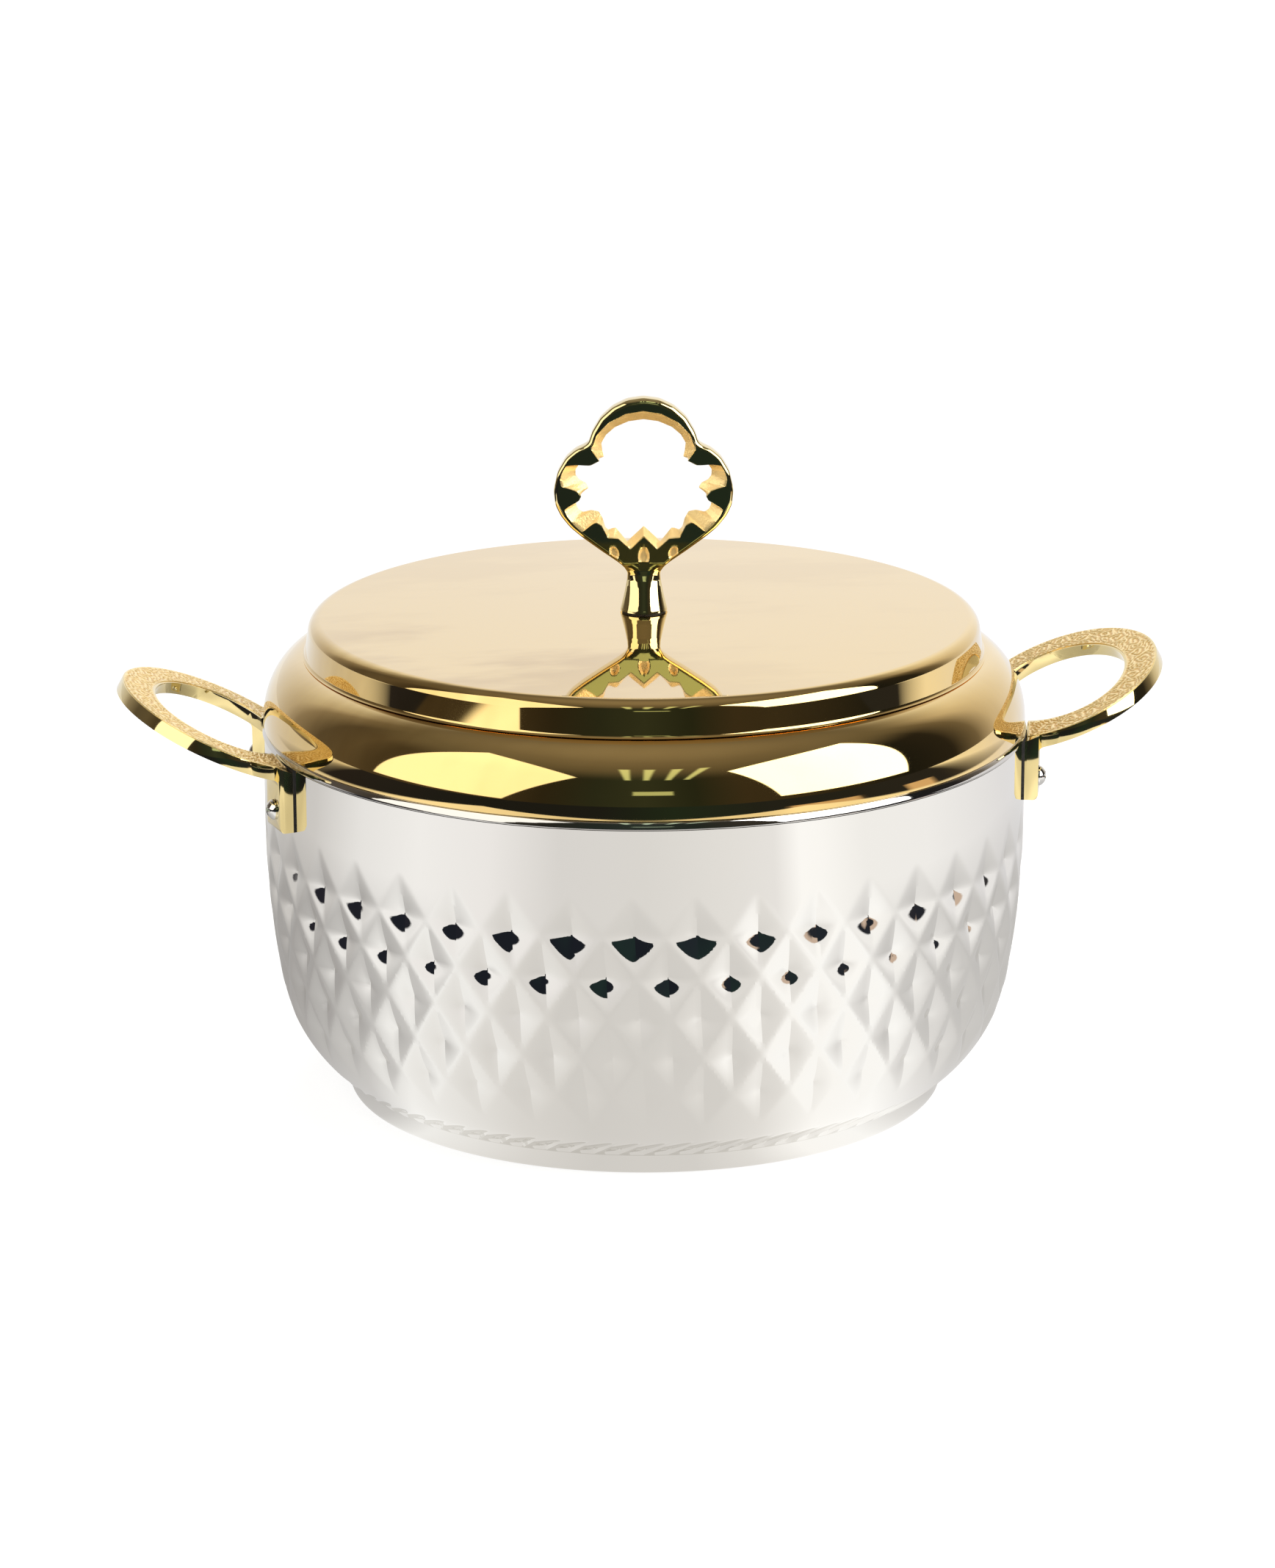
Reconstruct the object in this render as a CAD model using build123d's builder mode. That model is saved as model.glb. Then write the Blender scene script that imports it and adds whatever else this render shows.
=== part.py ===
"""Insulated serving casserole with a lift-off lid, two cast loop handles and a cast ring knob.

Millimetres, +Z up.  The origin is the centre of the base, on the surface the pot stands on.
The handles lie along X.  Every piece is its own solid and its own STEP file.
"""
from build123d import *
from math import acos, asin, cos, degrees, radians, sin, tan
import os

os.makedirs("parts", exist_ok=True)

# ---------------------------------------------------------------- driving dimensions
# outer shell, drawn from one sheet
wall_radius = 130.0          # outside of the plain upper band
shell_sheet = 0.8
shell_top = 126.4            # upper edge of the shell, under the rolled rim
belly_start = 95.0           # the wall is upright above this height
belly_radius = 313.0         # gentle curve of the side wall
heel_start = 40.0            # height where the gentle curve meets the tighter one
heel_radius = 50.0           # curve of the lower corner
pattern_depth = 2.4          # room inside the shell for the pits pressed into its side

# base cap, pressed over the bottom of the shell
cap_setback = 0.25           # between the lower edge of the shell's side and the cap's side
cap_height = 6.5
cap_sheet = 1.0
cap_edge = 2.0               # rounding of its lower edge
cap_recess = 1.6             # how far its middle is lifted off the table
cap_foot_width = 9.0         # width of the ring it stands on
plug_hole = 6.0              # radius of the hole the foam is poured through
plug_head = 9.0
plug_head_height = 1.0

# inner bowl with its flat flange and rolled rim
bowl_gap = 14.0              # from the outside of the pot to the inside of the bowl
bowl_sheet = 0.8
bowl_floor = 18.0            # underside of the bowl
bowl_corner = 34.0           # inside radius where wall and floor meet
rim_bead = 1.3               # section radius of the rolled rim
rim_overhang = 0.3           # how far the rolled rim stands out from the wall
flange_drop = 0.4            # top of the flange below the top of the rolled rim

# lid, a shallow drum with a stepped dome
lid_sheet = 0.7
lid_lip = 2.0                # height of the upright lip
lid_hem = 1.4                # doubled thickness of the lip
shoulder_height = 21.8       # the convex shoulder is a quarter of an ellipse
shoulder_width = 17.0
drum_setback = 15.6          # from the outside of the pot to the upright wall of the raised disc
drum_height = 11.9           # from the shoulder to the edge of the disc
drum_edge = 4.5              # rounding of the disc's edge
crown = 1.1                  # rise of the disc from its edge to its centre
plug_depth = 8.0             # how far the lid's liner reaches into the bowl
plug_clearance = 1.5         # between liner and bowl
liner_sheet = 0.7
liner_corner = 3.0
seal_width = 7.5
seal_height = 1.1

# ring knob
knob_turn = -8.4             # the lid is set down turned by this much
knob_plate = 7.0             # thickness of the ring
knob_bevel = 1.2
stem_radius = 8.0            # at the lid
waist_radius = 5.7
waist_height = 9.5
neck_radius = 5.2            # where the stem runs into the ring
stem_flange = 0.6            # upright edge at the foot of the stem
stem_height = 15.5
knob_height = 73.6
arch_radius = 18.7           # the ring's upper lobe; all places below are from its centre
arch_turn = 12.0             # the arch ends this many degrees above its centre
side_lobe = ((22.2, 1.4), (27.2, -3.5), (30.4, -12.9), (28.0, -21.9), (20.8, -29.3), (14.4, -34.0), (8.2, -38.5))
side_lobe_start = (0.55, -0.84)
opening_top = 11.0           # the ring's opening: an arch, then teeth and hollows by turns
opening_shoulder = (9.6, 8.3)
opening_side = (14.2, 2.9)
upper_tooth = ((13.4, -1.9), (19.2, -3.7))
upper_hollow = ((23.0, -6.3), (21.8, -9.9))
side_tooth = ((18.6, -12.6), (21.8, -15.3))
lower_hollow = ((22.8, -18.5), (20.6, -21.1))
lower_teeth = ((15.2, -20.9), (12.0, -27.3), (9.4, -26.6), (5.6, -31.3), (0.0, -26.0))
leaf_level = -35.9           # three leaf-shaped sinkings above the stem, in both faces
leaf_size = (1.9, 3.7)       # half width and half height of the middle one
side_leaf_size = (1.5, 2.4)
side_leaf_place = (10.0, -34.6)
side_leaf_tilt = 18.0
leaf_depth = 1.2
knob_screw_radius = 2.5
knob_screw_grip = 11.0       # thread inside the stem
knob_head_radius = 4.5
knob_head_height = 3.2
knob_washer_radius = 9.0
knob_washer_sheet = 1.2

# loop handles
handle_slope = 23.7          # degrees above level
handle_level = 128.0         # height of the top face over the wall's outside
loop_reach = 15.0            # from the outside of the pot to the loop's centre
loop_length = 35.5           # half lengths and half widths of the oval, in its own plane
loop_width = 47.0
loop_band = 11.8             # width of the band at the tip
loop_band_side = 13.0        # width of the band at the sides
handle_plate = 4.2
foot_setback = 11.35         # from the loop's widest place to the middle of a foot
foot_width = 12.5
foot_plate = 4.5
foot_bottom = 105.0
crook_radius = 3.5           # inside of the bend between foot and loop
crook_reach = 0.5            # how near to the foot's face the bend's edge is looked for
gasket_sheet = 0.6
screw_level = 112.0
screw_radius = 2.0
screw_length = 12.2
screw_head_radius = 3.4
screw_head_height = 2.5
screw_head_side = 0.5        # upright edge of the head, below its dome
screw_dome = 3.9             # radius of the dome
recess_width = 0.9           # cross recess of the screw heads
recess_length = 3.6
recess_depth = 1.0
strap_reach = 5.7            # degrees that the strap behind a handle goes past each foot
strap_sheet = 1.5
strap_height = 16.0
pocket_margin = 1.0          # degrees of free space past each end of a strap
nut_flats = 7.0
nut_height = 3.2

# clearances
seat_gap = 0.3               # between the lid and what it rests on
fit_gap = 0.1                # between pieces that are fastened together
foam_gap = 0.2               # between the foam and the sheets around it
hole_gap = 0.25              # around a screw in its hole

# ---------------------------------------------------------------- worked-out levels
# The side is one line and two arcs on one tangent; the cap, the bowl and the lid follow it.
belly_centre = (wall_radius - belly_radius, belly_start)
belly_turn = asin((belly_start - heel_start) / belly_radius)
heel_centre = (
    belly_centre[0] + (belly_radius - heel_radius) * cos(belly_turn),
    belly_centre[1] - (belly_radius - heel_radius) * sin(belly_turn),
)
step_level = cap_height + fit_gap
step_turn = asin((heel_centre[1] - step_level) / heel_radius)
cap_radius = heel_centre[0] + heel_radius * cos(step_turn) - cap_setback
bowl_radius = wall_radius - bowl_gap
drum_radius = wall_radius - drum_setback
loop_centre = wall_radius + loop_reach
rim_radius = wall_radius + rim_overhang - rim_bead
rim_level = shell_top + fit_gap + rim_bead
rim_top = rim_level + rim_bead
flange_top = rim_top - flange_drop
lip_bottom = rim_top + seat_gap
shoulder_bottom = lip_bottom + lid_lip
shoulder_top = shoulder_bottom + shoulder_height
shoulder_centre = wall_radius - shoulder_width
disc_edge = shoulder_top + drum_height
lid_top = disc_edge + crown
liner_radius = bowl_radius - plug_clearance
seal_bottom = flange_top + seat_gap
liner_level = seal_bottom + seal_height
liner_floor = flange_top - plug_depth
knob_base = lid_top + gasket_sheet
foot_back = wall_radius + gasket_sheet
foot_front = foot_back + foot_plate
foot_middle = foot_back + (foot_plate - gasket_sheet) / 2
foot_angle = degrees(asin((loop_width - foot_setback) / foot_front))
strap_angle = foot_angle + strap_reach
strap_back = wall_radius - shell_sheet - fit_gap
nut_back = (strap_back - strap_sheet) * cos(asin(nut_flats / 2 / (strap_back - strap_sheet))) - fit_gap


def save(piece, name):
    """Label a finished piece and write its STEP file."""
    piece.part.label = name
    export_step(piece.part, f"parts/{name}.step")


def radial_plane(angle, radius, level):
    """A plane facing straight out from the pot's axis."""
    a = radians(angle)
    return Plane(
        origin=(radius * cos(a), radius * sin(a), level),
        x_dir=(-sin(a), cos(a), 0),
        z_dir=(cos(a), sin(a), 0),
    )


def wall_path(inset, top, end_level):
    """The pot's side in section, moved inwards by inset, down to end_level."""
    heel = heel_radius - inset
    end_turn = asin((heel_centre[1] - end_level) / heel)
    Line((wall_radius - inset, top), (wall_radius - inset, belly_start))
    CenterArc(belly_centre, belly_radius - inset, 0, -degrees(belly_turn))
    lower = CenterArc(heel_centre, heel, -degrees(belly_turn), -degrees(end_turn - belly_turn))
    return lower @ 1


def bowl_path(outset, top):
    """The inner bowl in section, moved outwards by outset: wall, corner and floor."""
    radius = bowl_radius + outset
    corner = bowl_corner + outset
    floor = bowl_floor + bowl_sheet - outset
    Line((radius, top), (radius, floor + corner))
    CenterArc((radius - corner, floor + corner), corner, 0, -90)
    Line((radius - corner, floor), (0, floor))


# ---------------------------------------------------------------- outer shell
# One drawn cup: upright band, belly, heel, a step inwards and a flat bottom with a filling hole.
cap_inside = cap_radius - cap_sheet - fit_gap
shell_floor = cap_recess + cap_sheet + fit_gap
with BuildPart() as outer_shell:
    with BuildSketch(Plane.XZ):
        with BuildLine():
            outer_end = wall_path(0, shell_top, step_level)
            Polyline(
                outer_end,
                (cap_inside, step_level),
                (cap_inside, shell_floor),
                (plug_hole, shell_floor),
                (plug_hole, shell_floor + shell_sheet),
                (cap_inside - shell_sheet, shell_floor + shell_sheet),
                (cap_inside - shell_sheet, step_level + shell_sheet),
            )
            inner_end = wall_path(shell_sheet, shell_top, step_level + shell_sheet)
            Line((cap_inside - shell_sheet, step_level + shell_sheet), inner_end)
            Line((wall_radius, shell_top), (wall_radius - shell_sheet, shell_top))
        make_face()
    revolve(axis=Axis.Z)
    for side in (0, 180):
        for turn in (-foot_angle, foot_angle):
            with BuildSketch(radial_plane(side + turn, strap_back, screw_level)):
                Circle(screw_radius + hole_gap)
            extrude(amount=2 * shell_sheet, mode=Mode.SUBTRACT)
save(outer_shell, "outer_shell")

# ---------------------------------------------------------------- base cap
# A shallow pressed dish: it stands on a flat ring and its middle is lifted clear of the table.
foot_outer = cap_radius - cap_edge
foot_inner = foot_outer - cap_foot_width
with BuildPart() as base_cap:
    with BuildSketch(Plane.XZ):
        with BuildLine():
            Line((cap_radius, cap_height), (cap_radius, cap_edge))
            CenterArc((foot_outer, cap_edge), cap_edge, 0, -90)
            Polyline(
                (foot_outer, 0),
                (foot_inner, 0),
                (foot_inner - cap_recess, cap_recess),
                (0, cap_recess),
                (0, cap_recess + cap_sheet),
                (cap_radius - cap_sheet, cap_recess + cap_sheet),
                (cap_radius - cap_sheet, cap_height),
                (cap_radius, cap_height),
            )
        make_face()
    revolve(axis=Axis.Z)
save(base_cap, "base_cap")

# ---------------------------------------------------------------- foam plug
# A rubber stopper in the filling hole: its head lies inside, on the shell's bottom.
with BuildPart() as foam_plug:
    with BuildSketch(Plane.XY.offset(shell_floor)):
        Circle(plug_hole - fit_gap)
    extrude(amount=shell_sheet)
    with BuildSketch(Plane.XY.offset(shell_floor + shell_sheet)):
        Circle(plug_head)
    extrude(amount=plug_head_height)
save(foam_plug, "foam_plug")

# ---------------------------------------------------------------- inner bowl
# Drawn bowl, flat flange and a rolled rim that closes over the shell's upper edge.
with BuildPart() as inner_bowl:
    with BuildSketch(Plane.XZ):
        with BuildLine():
            bowl_path(0, flange_top)
            bowl_path(bowl_sheet, flange_top - bowl_sheet)
            Line((0, bowl_floor), (0, bowl_floor + bowl_sheet))
            Polyline(
                (bowl_radius, flange_top),
                (rim_radius, flange_top),
                (rim_radius, flange_top - bowl_sheet),
                (bowl_radius + bowl_sheet, flange_top - bowl_sheet),
            )
        make_face()
        with Locations((rim_radius, rim_level)):
            Circle(rim_bead)
    revolve(axis=Axis.Z)
save(inner_bowl, "inner_bowl")

# ---------------------------------------------------------------- insulation
# Foam that fills the space between bowl and shell, with pockets for the handle straps and nuts.
foam_inset = shell_sheet + pattern_depth + foam_gap
foam_top = flange_top - bowl_sheet - foam_gap
pocket_inner = foot_front - screw_length - foam_gap
pocket_turn = 2 * (strap_angle + pocket_margin)
pocket_bottom = screw_level - strap_height / 2 - foam_gap
with BuildPart() as insulation:
    with BuildSketch(Plane.XZ):
        with BuildLine():
            foam_end = wall_path(foam_inset, shell_top, step_level + shell_sheet + foam_gap)
            cup_wall = cap_inside - shell_sheet - foam_gap
            foam_floor = shell_floor + shell_sheet + foam_gap
            Polyline(
                foam_end,
                (cup_wall, step_level + shell_sheet + foam_gap),
                (cup_wall, foam_floor),
                (plug_head + foam_gap, foam_floor),
                (plug_head + foam_gap, foam_floor + plug_head_height),
                (0, foam_floor + plug_head_height),
                (0, bowl_floor - foam_gap),
            )
            bowl_path(bowl_sheet + foam_gap, foam_top)
            Polyline(
                (bowl_radius + bowl_sheet + foam_gap, foam_top),
                (wall_radius - foam_inset, foam_top),
                (wall_radius - foam_inset, shell_top),
            )
        make_face()
    revolve(axis=Axis.Z)
    for side in (0, 180):
        pocket_start = side - pocket_turn / 2
        with BuildSketch(Plane.XY.offset(pocket_bottom)):
            with BuildLine():
                CenterArc((0, 0), wall_radius, pocket_start, pocket_turn)
                CenterArc((0, 0), pocket_inner, pocket_start, pocket_turn)
                for end in (pocket_start, pocket_start + pocket_turn):
                    Line(
                        (wall_radius * cos(radians(end)), wall_radius * sin(radians(end))),
                        (pocket_inner * cos(radians(end)), pocket_inner * sin(radians(end))),
                    )
            make_face()
        extrude(amount=strap_height + 2 * foam_gap, mode=Mode.SUBTRACT)
save(insulation, "insulation")

# ---------------------------------------------------------------- handles
# A cast oval loop, cut to the wall, rising outwards, with two feet bent down to the wall.
slope = radians(handle_slope)
loop_level = handle_level + (loop_centre - wall_radius) * tan(slope)


def handle_piece(side):
    """One handle.  The feet are cut from above by the loop's own top face."""
    out = Plane.XY.rotated((0, 0, side))
    ax = radians(side)
    top = Plane(
        origin=(loop_centre * cos(ax), loop_centre * sin(ax), loop_level),
        x_dir=(cos(slope) * cos(ax), cos(slope) * sin(ax), sin(slope)),
        z_dir=(-sin(slope) * cos(ax), -sin(slope) * sin(ax), cos(slope)),
    )
    with BuildPart() as handle:
        with BuildSketch(top):
            Ellipse(loop_length, loop_width)
            Ellipse(loop_length - loop_band, loop_width - loop_band_side, mode=Mode.SUBTRACT)
        extrude(amount=-handle_plate)
        with BuildSketch(out.offset(foot_bottom)):
            for turn in (-foot_angle, foot_angle):
                with Locations(
                    Location((foot_middle * cos(radians(turn)), foot_middle * sin(radians(turn))), turn)
                ):
                    Rectangle(foot_plate + gasket_sheet, foot_width)
        extrude(amount=2 * (handle_level - foot_bottom))
        with BuildSketch(Plane.XY):
            Circle(foot_back)
        extrude(amount=2 * handle_level, mode=Mode.SUBTRACT)
        split(bisect_by=top, keep=Keep.BOTTOM)
        crooks = [
            edge
            for edge in handle.edges().filter_by(GeomType.LINE)
            if abs(Vector(edge.center().X, edge.center().Y).length - foot_front) < crook_reach
            and edge.center().Z > screw_level + screw_head_radius
            and edge.length > foot_width / 2
            and abs(edge.tangent_at(0.5).Z) < crook_reach
        ]
        fillet(crooks, crook_radius)
        for turn in (-foot_angle, foot_angle):
            with BuildSketch(radial_plane(side + turn, foot_back, screw_level)):
                Circle(screw_radius + hole_gap)
            extrude(amount=2 * foot_plate, both=True, mode=Mode.SUBTRACT)
    return handle


handles = {"left": 180, "right": 0}
for name, side in handles.items():
    save(handle_piece(side), f"handle_{name}")


def foot_gaskets(side):
    """The thin rubber pads between the feet of one handle and the wall."""
    with BuildPart() as pads:
        with BuildSketch(Plane.XY.rotated((0, 0, side)).offset(foot_bottom)):
            Circle(foot_back)
            Circle(wall_radius, mode=Mode.SUBTRACT)
            with BuildSketch(Plane.XY.rotated((0, 0, side)).offset(foot_bottom), mode=Mode.INTERSECT):
                for turn in (-foot_angle, foot_angle):
                    with Locations(
                        Location((wall_radius * cos(radians(turn)), wall_radius * sin(radians(turn))), turn)
                    ):
                        Rectangle(foot_plate, foot_width)
        extrude(amount=shell_top - foot_bottom - fit_gap)
        for turn in (-foot_angle, foot_angle):
            with BuildSketch(radial_plane(side + turn, wall_radius, screw_level)):
                Circle(screw_radius + hole_gap)
            extrude(amount=foot_plate, both=True, mode=Mode.SUBTRACT)
    return pads


def handle_screws(side):
    """Two domed machine screws with a cross recess, pointing in through the feet of one handle."""
    with BuildPart() as screws:
        for turn in (-foot_angle, foot_angle):
            seat = radial_plane(side + turn, foot_front, screw_level)
            with BuildSketch(Plane(origin=seat.origin, x_dir=seat.x_dir, z_dir=(0, 0, -1))):
                with BuildLine():
                    Polyline(
                        (0, screw_head_height),
                        (0, -screw_length),
                        (screw_radius, -screw_length),
                        (screw_radius, 0),
                        (screw_head_radius, 0),
                        (screw_head_radius, screw_head_side),
                    )
                    RadiusArc(
                        (screw_head_radius, screw_head_side),
                        (0, screw_head_height),
                        -screw_dome,
                    )
                make_face()
            revolve(axis=Axis(seat.origin, seat.z_dir))
            with BuildSketch(seat.offset(screw_head_height)):
                Rectangle(recess_length, recess_width)
                Rectangle(recess_width, recess_length)
            extrude(amount=-recess_depth, mode=Mode.SUBTRACT)
    return screws


def handle_strap(side):
    """The curved steel strap inside the shell that spreads the pull of one handle."""
    start = side - strap_angle
    with BuildPart() as strap:
        with BuildSketch(Plane.XY.offset(screw_level - strap_height / 2)):
            with BuildLine():
                CenterArc((0, 0), strap_back, start, 2 * strap_angle)
                CenterArc((0, 0), strap_back - strap_sheet, start, 2 * strap_angle)
                for end in (start, start + 2 * strap_angle):
                    across = (cos(radians(end)), sin(radians(end)))
                    Line(
                        (strap_back * across[0], strap_back * across[1]),
                        ((strap_back - strap_sheet) * across[0], (strap_back - strap_sheet) * across[1]),
                    )
            make_face()
        extrude(amount=strap_height)
        for turn in (-foot_angle, foot_angle):
            with BuildSketch(radial_plane(side + turn, strap_back, screw_level)):
                Circle(screw_radius + hole_gap)
            extrude(amount=2 * strap_sheet, both=True, mode=Mode.SUBTRACT)
    return strap


def handle_nuts(side):
    """Two hexagon nuts behind the strap of one handle."""
    with BuildPart() as nuts:
        for turn in (-foot_angle, foot_angle):
            with BuildSketch(radial_plane(side + turn, nut_back - nut_height, screw_level)):
                RegularPolygon(nut_flats / 2, 6, major_radius=False)
                Circle(screw_radius + fit_gap / 2, mode=Mode.SUBTRACT)
            extrude(amount=nut_height)
    return nuts


for name, side in handles.items():
    save(foot_gaskets(side), f"handle_gaskets_{name}")
    save(handle_screws(side), f"handle_screws_{name}")
    save(handle_strap(side), f"handle_strap_{name}")
    save(handle_nuts(side), f"handle_nuts_{name}")


# ---------------------------------------------------------------- lid cover
def lid_path(inset):
    """The lid's dome in section, moved inwards by inset, from its centre to the lip."""
    edge_centre = (drum_radius - drum_edge, disc_edge - drum_edge)
    wall = drum_radius - inset
    shoulder_turn = acos((wall - shoulder_centre) / (shoulder_width - inset))
    crown_radius = (edge_centre[0] ** 2 + crown**2) / (2 * crown)
    RadiusArc((0, lid_top - inset), (edge_centre[0], disc_edge - inset), crown_radius - inset)
    edge = CenterArc(edge_centre, drum_edge - inset, 90, -90)
    shoulder = EllipticalCenterArc(
        (shoulder_centre, shoulder_bottom),
        shoulder_width - inset,
        shoulder_height - inset,
        start_angle=0,
        arc_size=degrees(shoulder_turn),
    )
    Line(edge @ 1, shoulder @ 1)
    return shoulder @ 0


# One spun sheet: a slightly crowned disc, a step, a convex shoulder and a hemmed lip.
hem_inside = wall_radius - lid_hem
with BuildPart() as lid_cover:
    with BuildSketch(Plane.XZ):
        with BuildLine():
            lid_path(0)
            lid_path(lid_sheet)
            Line((0, lid_top), (0, lid_top - lid_sheet))
            Polyline(
                (wall_radius, shoulder_bottom),
                (wall_radius, lip_bottom),
                (hem_inside, lip_bottom),
                (hem_inside, shoulder_bottom),
                (wall_radius - lid_sheet, shoulder_bottom),
            )
        make_face()
    revolve(axis=Axis.Z)
    with BuildSketch(Plane.XY.offset(disc_edge - lid_sheet)):
        Circle(knob_screw_radius + hole_gap)
    extrude(amount=2 * crown + lid_sheet, mode=Mode.SUBTRACT)
save(lid_cover, "lid_cover")

# ---------------------------------------------------------------- lid liner
# A flat pan that closes the lid from below and reaches a little way into the bowl.
liner_edge = hem_inside - fit_gap
with BuildPart() as lid_liner:
    with BuildSketch(Plane.XZ):
        with BuildLine():
            Line((0, liner_floor), (liner_radius - liner_corner, liner_floor))
            CenterArc((liner_radius - liner_corner, liner_floor + liner_corner), liner_corner, -90, 90)
            Polyline(
                (liner_radius, liner_floor + liner_corner),
                (liner_radius, liner_level),
                (liner_edge, liner_level),
                (liner_edge, liner_level + liner_sheet),
                (liner_radius - liner_sheet, liner_level + liner_sheet),
                (liner_radius - liner_sheet, liner_floor + liner_corner),
            )
            CenterArc(
                (liner_radius - liner_corner, liner_floor + liner_corner),
                liner_corner - liner_sheet,
                0,
                -90,
            )
            Polyline(
                (liner_radius - liner_corner, liner_floor + liner_sheet),
                (0, liner_floor + liner_sheet),
                (0, liner_floor),
            )
        make_face()
    revolve(axis=Axis.Z)
save(lid_liner, "lid_liner")

# ---------------------------------------------------------------- lid seal
# A flat silicone ring under the liner's flange, half way between the bowl's edge and the rim.
seal_middle = (bowl_radius + rim_radius - rim_bead) / 2
with BuildPart() as lid_seal:
    with BuildSketch(Plane.XY.offset(seal_bottom)):
        Circle(seal_middle + seal_width / 2)
        Circle(seal_middle - seal_width / 2, mode=Mode.SUBTRACT)
    extrude(amount=seal_height)
save(lid_seal, "lid_seal")

# ---------------------------------------------------------------- knob fastening
washer_top = lid_top - lid_sheet - fit_gap
head_top = washer_top - knob_washer_sheet
with BuildPart() as knob_gasket:
    with BuildSketch(Plane.XY.offset(lid_top)):
        Circle(stem_radius - gasket_sheet)
        Circle(knob_screw_radius + hole_gap, mode=Mode.SUBTRACT)
    extrude(amount=gasket_sheet)
save(knob_gasket, "knob_gasket")

with BuildPart() as knob_washer:
    with BuildSketch(Plane.XY.offset(head_top)):
        Circle(knob_washer_radius)
        Circle(knob_screw_radius + hole_gap, mode=Mode.SUBTRACT)
    extrude(amount=knob_washer_sheet)
save(knob_washer, "knob_washer")

with BuildPart() as knob_screw:
    with BuildSketch(Plane.XY.offset(head_top - knob_head_height)):
        Circle(knob_head_radius)
    extrude(amount=knob_head_height)
    with BuildSketch(Plane.XY.offset(head_top)):
        Circle(knob_screw_radius)
    extrude(amount=knob_base + knob_screw_grip - head_top)
save(knob_screw, "knob_screw")

# ---------------------------------------------------------------- lid foam
# Foam between cover and liner, hollowed where the knob's screw head lies.
liner_top = liner_level + liner_sheet + foam_gap
pan_inside = liner_radius - liner_sheet - foam_gap
screw_pocket = head_top - knob_head_height - foam_gap
with BuildPart() as lid_foam:
    with BuildSketch(Plane.XZ):
        with BuildLine():
            lid_path(lid_sheet + foam_gap)
            Polyline(
                (wall_radius - lid_sheet - foam_gap, shoulder_bottom),
                (hem_inside - foam_gap, shoulder_bottom),
                (hem_inside - foam_gap, liner_top),
                (pan_inside, liner_top),
                (pan_inside, liner_floor + liner_corner),
                (pan_inside - liner_corner, liner_floor + liner_sheet + foam_gap),
                (0, liner_floor + liner_sheet + foam_gap),
                (0, lid_top - lid_sheet - foam_gap),
            )
        make_face()
    revolve(axis=Axis.Z)
    with BuildSketch(Plane.XY.offset(screw_pocket)):
        Circle(knob_washer_radius + foam_gap)
    extrude(amount=lid_top - screw_pocket, mode=Mode.SUBTRACT)
save(lid_foam, "lid_foam")

# ---------------------------------------------------------------- ring knob
# Cast in one piece: a waisted round stem that opens into a flat ring of three lobes, with
# leaf-shaped teeth inside.  The outline is drawn for one half and mirrored.
knob_across = (cos(radians(knob_turn)), sin(radians(knob_turn)), 0)
knob_facing = (sin(radians(knob_turn)), -cos(radians(knob_turn)), 0)
arch_level = knob_height - arch_radius
knob_front = Plane(origin=(0, 0, knob_base + arch_level), x_dir=knob_across, z_dir=knob_facing)
knob_back = Plane(origin=knob_front.origin, x_dir=-knob_front.x_dir, z_dir=-knob_front.z_dir)
arch_end = (arch_radius * cos(radians(arch_turn)), arch_radius * sin(radians(arch_turn)))
ring_foot = waist_height + neck_radius / 2 - arch_level
with BuildPart() as knob:
    with BuildSketch(knob_front):
        with BuildLine():
            CenterArc((0, 0), arch_radius, arch_turn, 90 - arch_turn)
            Spline(
                arch_end,
                *side_lobe,
                (neck_radius, ring_foot),
                tangents=(side_lobe_start, (0, -1)),
            )
            Polyline((neck_radius, ring_foot), (0, ring_foot), (0, arch_radius))
        make_face()
        mirror(about=Plane.YZ)
        with BuildLine():
            ThreePointArc((0, opening_top), opening_shoulder, opening_side)
            Polyline(opening_side, *upper_tooth)
            ThreePointArc(upper_tooth[-1], *upper_hollow)
            Polyline(upper_hollow[-1], *side_tooth)
            ThreePointArc(side_tooth[-1], *lower_hollow)
            Polyline(lower_hollow[-1], *lower_teeth, (0, opening_top))
        half_opening = make_face(mode=Mode.PRIVATE)
        add(half_opening, mode=Mode.SUBTRACT)
        add(half_opening.mirror(Plane.YZ), mode=Mode.SUBTRACT)
    extrude(amount=knob_plate / 2, both=True)
    flats = knob.faces().filter_by(GeomType.PLANE).sort_by(Axis(knob_front.origin, knob_front.z_dir))
    chamfer(flats[0].outer_wire().edges() + flats[-1].outer_wire().edges(), knob_bevel)
    for face_plane in (knob_front, knob_back):
        with BuildSketch(face_plane.offset(knob_plate / 2)):
            with Locations((0, leaf_level)):
                Ellipse(*leaf_size)
            for leaf_side in (-1, 1):
                with Locations(
                    Location((leaf_side * side_leaf_place[0], side_leaf_place[1]), -leaf_side * side_leaf_tilt)
                ):
                    Ellipse(*side_leaf_size)
        extrude(amount=-leaf_depth, mode=Mode.SUBTRACT)
    with BuildSketch(Plane(origin=(0, 0, knob_base), x_dir=knob_across, z_dir=knob_facing)):
        with BuildLine():
            Polyline((0, stem_height), (0, 0), (stem_radius, 0), (stem_radius, stem_flange))
            Spline(
                (stem_radius, stem_flange),
                (waist_radius, waist_height),
                (neck_radius, stem_height),
                tangents=((-1, 2), (0, 1)),
            )
            Line((neck_radius, stem_height), (0, stem_height))
        make_face()
    revolve(axis=Axis.Z)
    with BuildSketch(Plane.XY.offset(knob_base)):
        Circle(knob_screw_radius + fit_gap / 2)
    extrude(amount=knob_screw_grip + fit_gap, mode=Mode.SUBTRACT)
save(knob, "knob")
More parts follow.
